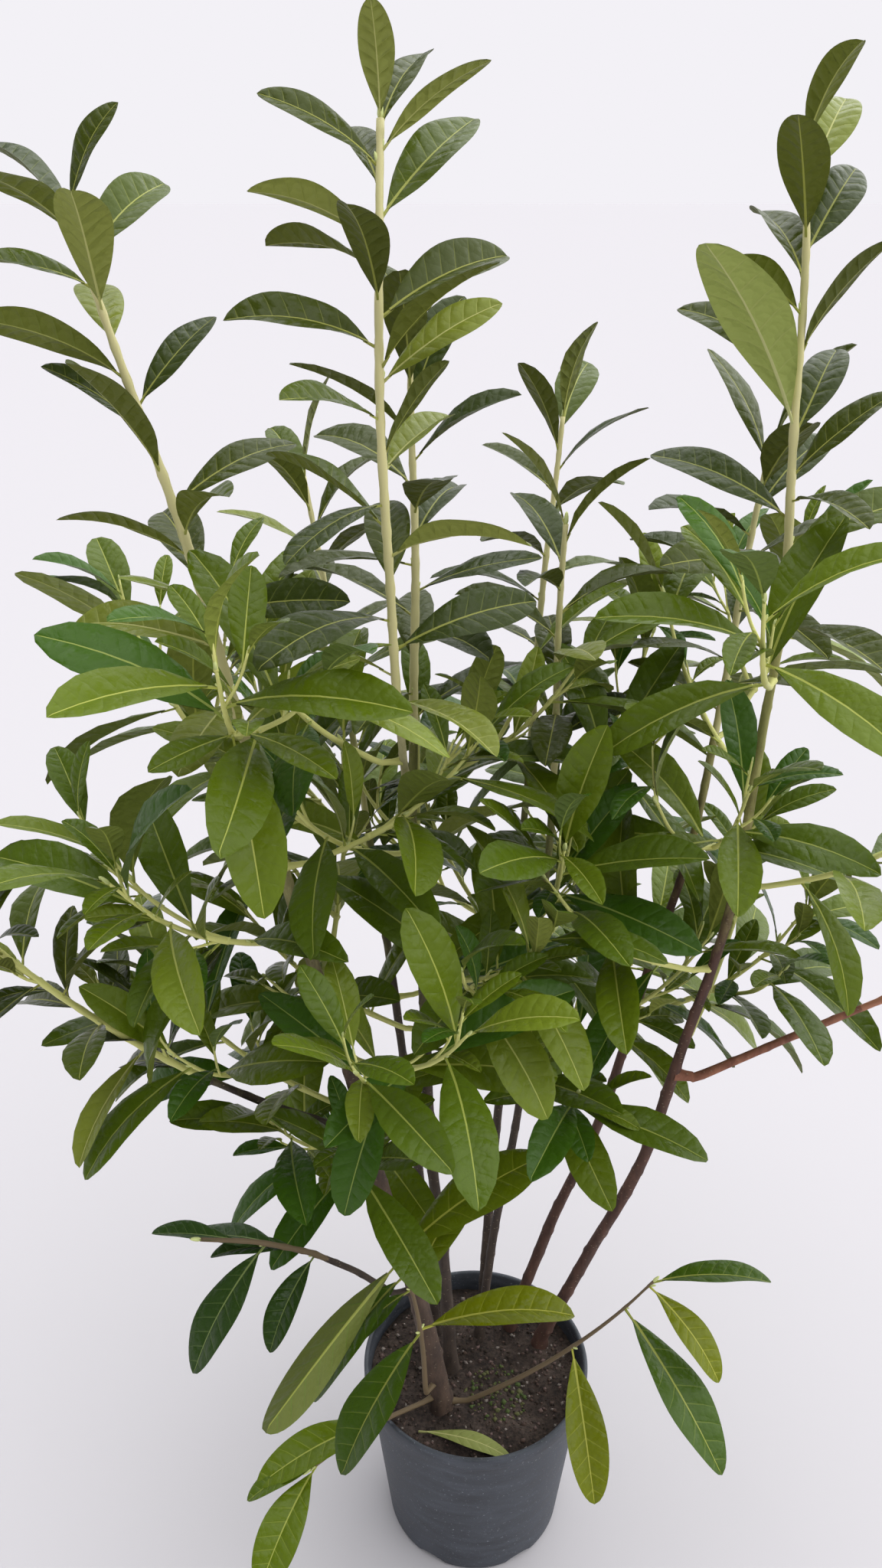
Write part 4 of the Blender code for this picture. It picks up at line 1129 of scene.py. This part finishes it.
def leaf_meshes(leaves, fine, rng):
    """All leaves at once: a point is m(s) + x(u, t) across + h(u, t) up, where m(s) = root + L (ahead s - face arch
    s^2 / 2), x = +-(rib + (half width - rib) |u|), and h = fold |x| + dome - roll |u|^3 + a wave at the margin
    - curl (t - 0.45)^2; a blade keeps its own width when it folds by f, so its half width across the midrib is
    divided by sqrt(1 + f^2). Rows of points slant forward by the veins' angle; a fine leaf's rows lie low along its
    veins and high between. The underside is a second grid just below the first, with the midrib standing out of it.
    The flat place of a point is ((1 + u) / 2, row)."""
    root, ahead, face = [np.array([leaf[key] for leaf in leaves])[:, None, None] for key in ("root", "ahead", "face")]
    length, aspect, arch = [np.array([leaf[key] for leaf in leaves])[:, None, None]
                            for key in ("length", "aspect", "arch")]
    count = len(leaves)
    row, aside, lift = leaf_rows(fine)
    stations = 0.962 * row ** 0.90

    def spread(low, high):
        return rng.uniform(low, high, (count, 1, 1))

    half = 0.5 * length * aspect
    fold, roll, twist = spread(*FOLD), spread(*ROLL), np.radians(spread(*TWIST))
    bend, curl, phase, wave = spread(*BEND), spread(*CURL), spread(0.0, 6.28), spread(*MARGIN_WAVE)
    listed = np.array([leaf.get("fold", 0.0) for leaf in leaves])[:, None, None]
    fold = np.where(listed > 0.0, listed, fold)
    half = half / np.sqrt(1.0 + fold ** 2)

    def surface(u, rise):
        """Points at each station and column: u from -1 to 1, lifted by `rise`, the middle gap by the rib."""
        u = np.asarray(u)[None, None]
        t = stations[None, :, None] + aside[None, :, None] * (1.0 - 0.8 * np.abs(u))
        t = t + VEIN_SLANT * t * (1.0 - t) * np.abs(u)
        s = STALK_SHARE + (1.0 - STALK_SHARE) * t
        rib = RIB_HALF * (length / LONG) * (1.15 - 0.85 * t)
        wide = np.maximum(half * blade_half(t), 1.06 * rib)
        x = np.sign(u) * (rib + (wide - rib) * np.maximum(0.0, (np.abs(u) - RIB_SIDE) / (1.0 - RIB_SIDE)))
        window = 4.0 * t * (1.0 - t)
        quilt = VEIN_HIGH * (length / LONG) * lift[None, :, None] * np.sin(np.pi * np.abs(u) ** 0.8) * window
        margin = wave * half * np.sin(9.0 * t + phase * (1.0 + 0.3 * np.sign(u))) * np.abs(u) ** 2 * window
        dome = DOME * np.abs(x) * (1.0 - np.abs(u))
        up = fold * np.abs(x) + dome - roll * half * np.abs(u) ** 3 * window + quilt + margin + rise
        up = up - curl * length * np.clip(t - CURL_FROM, 0.0, None) ** 2
        tangent = unit(ahead - face * (arch * s)[..., None])
        across = np.cross(ahead, face)
        normal = np.cross(across, tangent)
        turn = (twist * t)[..., None]
        x_way = across * np.cos(turn) + normal * np.sin(turn)
        up_way = normal * np.cos(turn) - across * np.sin(turn)
        middle = root + length[..., None] * (ahead * s[..., None] - face * (0.5 * arch * s ** 2)[..., None])
        middle = middle + across * (bend * length * t ** 2)[..., None]
        return middle + x_way * x[..., None] + up_way * up[..., None]

    top_columns = [-1.0, -FLANK, -RIB_SIDE, RIB_SIDE, FLANK, 1.0]
    back_columns = top_columns[1:-1] if fine else top_columns[2:-2]
    top = surface(top_columns, 0.0)
    below = surface([-RIB_SIDE, RIB_SIDE], -RIB_DEEP * (length / LONG) * (1.0 - 0.75 * stations[None, :, None]))
    if fine:
        back = surface([-FLANK, FLANK], -BLADE_THICK)
        below = np.concatenate([back[:, :, :1], below, back[:, :, 1:]], axis=2)
    across = np.cross(ahead, face)
    normal = np.cross(across, unit(ahead - face * arch[..., None]))
    tip = root + length[..., None] * (ahead - face * (0.5 * arch)[..., None])
    tip = tip + across * (bend * length)[..., None] - normal * (curl * length * (1.0 - CURL_FROM) ** 2)[..., None]
    stalk_s = np.array([0.0, STALK_SHARE + 0.03])[None, :, None]
    stalk = root + length[..., None] * (ahead * stalk_s[..., None] - face * (0.5 * arch * stalk_s ** 2)[..., None])
    girth = STALK_RADIUS * (length / LONG) ** 0.5 * np.array([1.15, 0.85])[None, :, None]
    angle = np.radians([45.0, 135.0, 225.0, 315.0])[None, None]
    stalk = stalk - face * 0.0004 + girth[..., None] * (across * np.cos(angle)[..., None]
                                                        + face * np.sin(angle)[..., None])
    points = np.concatenate([part.reshape(count, -1, 3) for part in (top, below, tip, stalk)], axis=1)
    flat = [np.stack(np.broadcast_arrays(0.5 + 0.5 * np.array(columns)[None], row[:, None]), axis=-1).reshape(-1, 2)
            for columns in (top_columns, back_columns)]
    flat = np.vstack(flat + [np.array([[0.5, 1.0]] + [[0.5, 0.0]] * CORNERS)])
    return points, np.tile(flat, (count, 1)), leaf_faces(len(row), below.shape[2], aside)


def leaf_faces(rows, columns, aside):
    """Faces of one leaf and their finish: 0 blade, 1 midrib and stalk, 2 underside, 3 side veins."""
    top = np.arange(rows * 6).reshape(rows, 6)
    below = rows * 6 + np.arange(rows * columns).reshape(rows, columns)
    under = np.hstack([top[:, :1], below, top[:, 5:]])
    tip = rows * (6 + columns)
    stalk = tip + 1 + np.arange(CORNERS).reshape(2, 4)
    top_slots = np.array([0, 0, 1, 0, 0])
    under_slots = np.array([2, 1, 2] if columns == 2 else [2, 2, 1, 2, 2])
    veined = (aside[:-1] < 0.0)[:, None]

    def strips(grid):
        return np.stack([grid[:-1, :-1], grid[:-1, 1:], grid[1:, 1:], grid[1:, :-1]], axis=-1).reshape(-1, 4)

    after = np.roll(stalk, -1, axis=1)
    walls = np.stack([stalk[0], stalk[1], after[1], after[0]], axis=-1)
    quads = [strips(top), strips(under)[:, [0, 3, 2, 1]], walls, stalk[:1], stalk[-1:, ::-1]]
    quad_slots = [np.where(veined & (part != 1), 3, part[None]).ravel() for part in (top_slots, under_slots)]
    quad_slots = np.concatenate(quad_slots + [np.full(6, 1)])
    tip_top = np.stack([top[-1, :-1], top[-1, 1:], np.full(5, tip)], axis=-1)
    tip_back = np.stack([under[-1, 1:], under[-1, :-1], np.full(columns + 1, tip)], axis=-1)
    base = np.concatenate([top[0, ::-1], below[0]])[None]
    return ([np.vstack(quads), np.vstack([tip_top, tip_back]), base],
            [quad_slots, np.concatenate([top_slots, under_slots[::-1]]), np.array([1])], tip + 1 + CORNERS)


def leaf_skin(name, colour, roughness, wax, relief, side=1.0):
    """Leaf surface: a plain colour under wax, pillows between the side veins of height |cos(8 pi v)| ** 0.7 * a (1 - a)
    with a = |2 u - 1|, cells of 5.5 mm between the net veins, and grain. The side is 1 above, where veins are sunken,
    and -1 below, where they stand out."""
    material, shader, place = waxed(name, colour, roughness, wax, 16, (0.08, 0.14))
    blade = add(place, "SeparateXYZ", {"Vector": add(place, "UVMap", uv_map="blade").outputs["UV"]})
    wave = calc("COSINE", calc("MULTIPLY", blade.outputs["Y"], np.pi * VEIN_PAIRS))
    wave = calc("POWER", calc("ABSOLUTE", wave), 0.7)
    away = calc("ABSOLUTE", calc("MULTIPLY_ADD", blade.outputs["X"], 2.0, -1.0))
    arc = calc("SUBTRACT", away, calc("MULTIPLY", away, away))
    veins = bump(calc("MULTIPLY", wave, arc), 1.0, side * PILLOW_HIGH * relief)
    net = bump(cells(place, 5.5), relief, NET_HIGH, veins, invert=True)
    feed(shader, "Normal", bump(noise(place, 1.6, 2.0), 0.45, GRAIN_HIGH, net))
    return material


# Laurel cuticle: a leathery blade under clear wax, so the leaf is deep green with a soft pale sheen of
# the sky. The midrib is a pale yellow-green line and the underside is lighter and matt.
FINISHES = dict(
    young=[("#3e480b", "#97994a", "#5c6324"), ("#333f0d", "#8c8f43", "#515820"), ("#4a5812", "#a2a655", "#68702b"),
           # The fifth young tint is painted light: its pale blade and underside stand for light shining through the big
           # right-stem leaf that turns its underside forward.
           ("#747e2a", "#b3b46e", "#878e44"), ("#9aa651", "#c8ca8c", "#a4b060")],
    green=[("#53650e", "#a0a74c", "#707d31"), ("#5f7111", "#a9af51", "#7b8638"), ("#3d5e10", "#8f9c4a", "#607234"),
           ("#738223", "#b3b65f", "#8a9342")],
    mature=[("#4e6210", "#97a048", "#6a762f"), ("#5b6d11", "#a0a74b", "#747f34"), ("#385810", "#859546", "#5a6c34"),
            ("#6b7b1f", "#a9af59", "#838c3e")],
    # painted_shade: a darker, bluer green, painted shade for the leaves of the low bough under the crown.
    painted_shade=[("#2c4314", "#78874c", "#58673a"), ("#324a1e", "#7d8d55", "#5c6941"), ("#283d12", "#6e7d46", "#505d34"),
            ("#3f5922", "#85945c", "#637046")],
    yellowing=[("#697209", "#abab48", "#747b2c"), ("#58670a", "#a0a341", "#69702a"), ("#3d5510", "#8e9443", "#60692f"),
               ("#7f8310", "#b6b34f", "#838838")],
)
TINT_SHARES = (0.38, 0.30, 0.20, 0.12)
VEIN_PALE = 0.35
UPPER_CROWN = 0.86
leaf_rng = np.random.default_rng(SEED)


def finish_of(shoot):
    """The colour that a spray is dealt: its own, or young at the tops, green in the upper crown and mature below."""
    if "finish" in shoot:
        return shoot["finish"]
    if shoot["kind"] == "top":
        return "young"
    return "green" if shoot["axis"][0][2] > UPPER_CROWN else "mature"


def tint_of(shoot, leaf):
    """Which of its finish's tints a leaf takes: the one listed for it, or one by chance."""
    if "tints" in shoot:
        return shoot["tints"][leaf["index"]]
    return int(leaf_rng.choice(len(TINT_SHARES), p=TINT_SHARES))


def between(low, high, share):
    """Hex colour a share of the way from one to another, each channel on its own."""
    pairs = [(int(low[i:i + 2], 16), int(high[i:i + 2], 16)) for i in (1, 3, 5)]
    return "#%02x%02x%02x" % tuple(round(a + (b - a) * share) for a, b in pairs)


for finish, tints in FINISHES.items():
    materials = []
    for tint, (blade, rib, back) in enumerate(tints):
        parts = (("blade", blade, 0.30, 0.25, 0.45), ("midrib", rib, 0.45, 0.3, 0.05),
                 ("underside", back, 0.55, 0.2, 0.8, -1.0), ("vein", between(blade, rib, VEIN_PALE), 0.40, 0.3, 0.1))
        materials += [leaf_skin("%s_%s_%d" % (finish, part, tint + 1), *look) for part, *look in parts]
    group = [shoot for shoot in shoots if finish_of(shoot) == finish]
    leaves = [dict(leaf, tint=tint_of(shoot, leaf), fine="leaves" in shoot)
              for shoot in group for twig in twigs_of(shoot) for leaf in twig["grown"]]
    all_points, all_flat, all_faces, all_slots, start = [], [], [], [], 0
    for fine in (False, True):
        some = [leaf for leaf in leaves if leaf["fine"] == fine]
        if some:
            points, flat, (faces, slots, stride) = leaf_meshes(some, fine, leaf_rng)
            tint = np.array([leaf["tint"] for leaf in some])
            all_points.append(points.reshape(-1, 3))
            all_flat.append(flat)
            all_faces += [repeated(part, len(some), stride) + start for part in faces]
            all_slots += [(4 * tint[:, None] + part[None]).ravel() for part in slots]
            start += len(all_points[-1])
    piece = new_piece("leaves_" + finish, np.vstack(all_points), all_faces, materials, np.concatenate(all_slots),
                      sharp=58, flat=np.vstack(all_flat))
    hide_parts(*[shoot["name"] for shoot in group])

# One leaf lies dropped on the soil inside the front rim, curled and gone dull olive.
ahead = unit(np.array([0.103, -0.022, 0.022]))
face = np.array([-0.2, 0.25, 1.0])
dropped = dict(root=np.array([-0.060, -0.076, 0.2015]), ahead=ahead, face=unit(face - ahead * (face @ ahead)),
               length=0.098, aspect=0.22, arch=0.45)
points, flat, (faces, slots, stride) = leaf_meshes([dropped], True, leaf_rng)
finishes = [leaf_skin("dropped_" + part, *look) for part, *look in (
    ("blade", "#7d8546", 0.5, 0.25, 0.4), ("midrib", "#a5a56a", 0.5, 0.25, 0.1),
    ("underside", "#868c58", 0.6, 0.2, 0.4, -1.0), ("vein", "#8c9054", 0.5, 0.25, 0.1))]
piece = new_piece("dropped_leaf", points, faces, finishes, np.concatenate(slots), sharp=58, flat=flat)


# Floor and light
# A plain pale floor that meets a backdrop of the same tone, a dimmer ceiling above it that is darker on the
# camera's side, and one very broad soft lamp high on the right: leaves are lit on top and stay deep in front.
FLOOR_REACH = 40.0
FLOOR_GAP = 0.0002
BACKDROP = "#f3f1f6"
CEILING = "#9a9ea5"
ROOM = "#6c7078"
ROOM_DEPTH = (-0.5, 0.4)
CEILING_RISE = (0.28, 0.42)
LAMP_STRENGTH = 4.55
LAMP_SPREAD = 112.0
LAMP_TURN = (-8.0, 25.0, 0.0)

paint, shader, place = new_finish("floor_paint", "#c3c0c3", 1.0, 1.45)
shader.inputs["Specular IOR Level"].default_value = 0.0
floor_mesh = bpy.data.meshes.new("floor")
corners = [(x * FLOOR_REACH, y * FLOOR_REACH, -FLOOR_GAP) for x, y in ((-1, -1), (1, -1), (1, 1), (-1, 1))]
floor_mesh.from_pydata(corners, [], [(0, 1, 2, 3)])
floor_mesh.materials.append(paint)
floor = bpy.data.objects.new("floor", floor_mesh)
bpy.context.scene.collection.objects.link(floor)

world = bpy.data.worlds.new("studio")
world.use_nodes = True
background = world.node_tree.nodes["Background"]
way = add(background, "SeparateXYZ", {"Vector": add(background, "TexCoord").outputs["Generated"]})
above = blend(ramp(way.outputs["Y"], *ROOM_DEPTH), ROOM, CEILING)
feed(background, "Color", blend(ramp(way.outputs["Z"], *CEILING_RISE), BACKDROP, above))
bpy.context.scene.world = world

lamp = bpy.data.lights.new("soft_lamp", "SUN")
lamp.energy = LAMP_STRENGTH
lamp.angle = np.radians(LAMP_SPREAD)
lamp_object = bpy.data.objects.new("soft_lamp", lamp)
lamp_object.rotation_euler = np.radians(LAMP_TURN)
bpy.context.scene.collection.objects.link(lamp_object)
bpy.context.scene.view_settings.view_transform = "Standard"
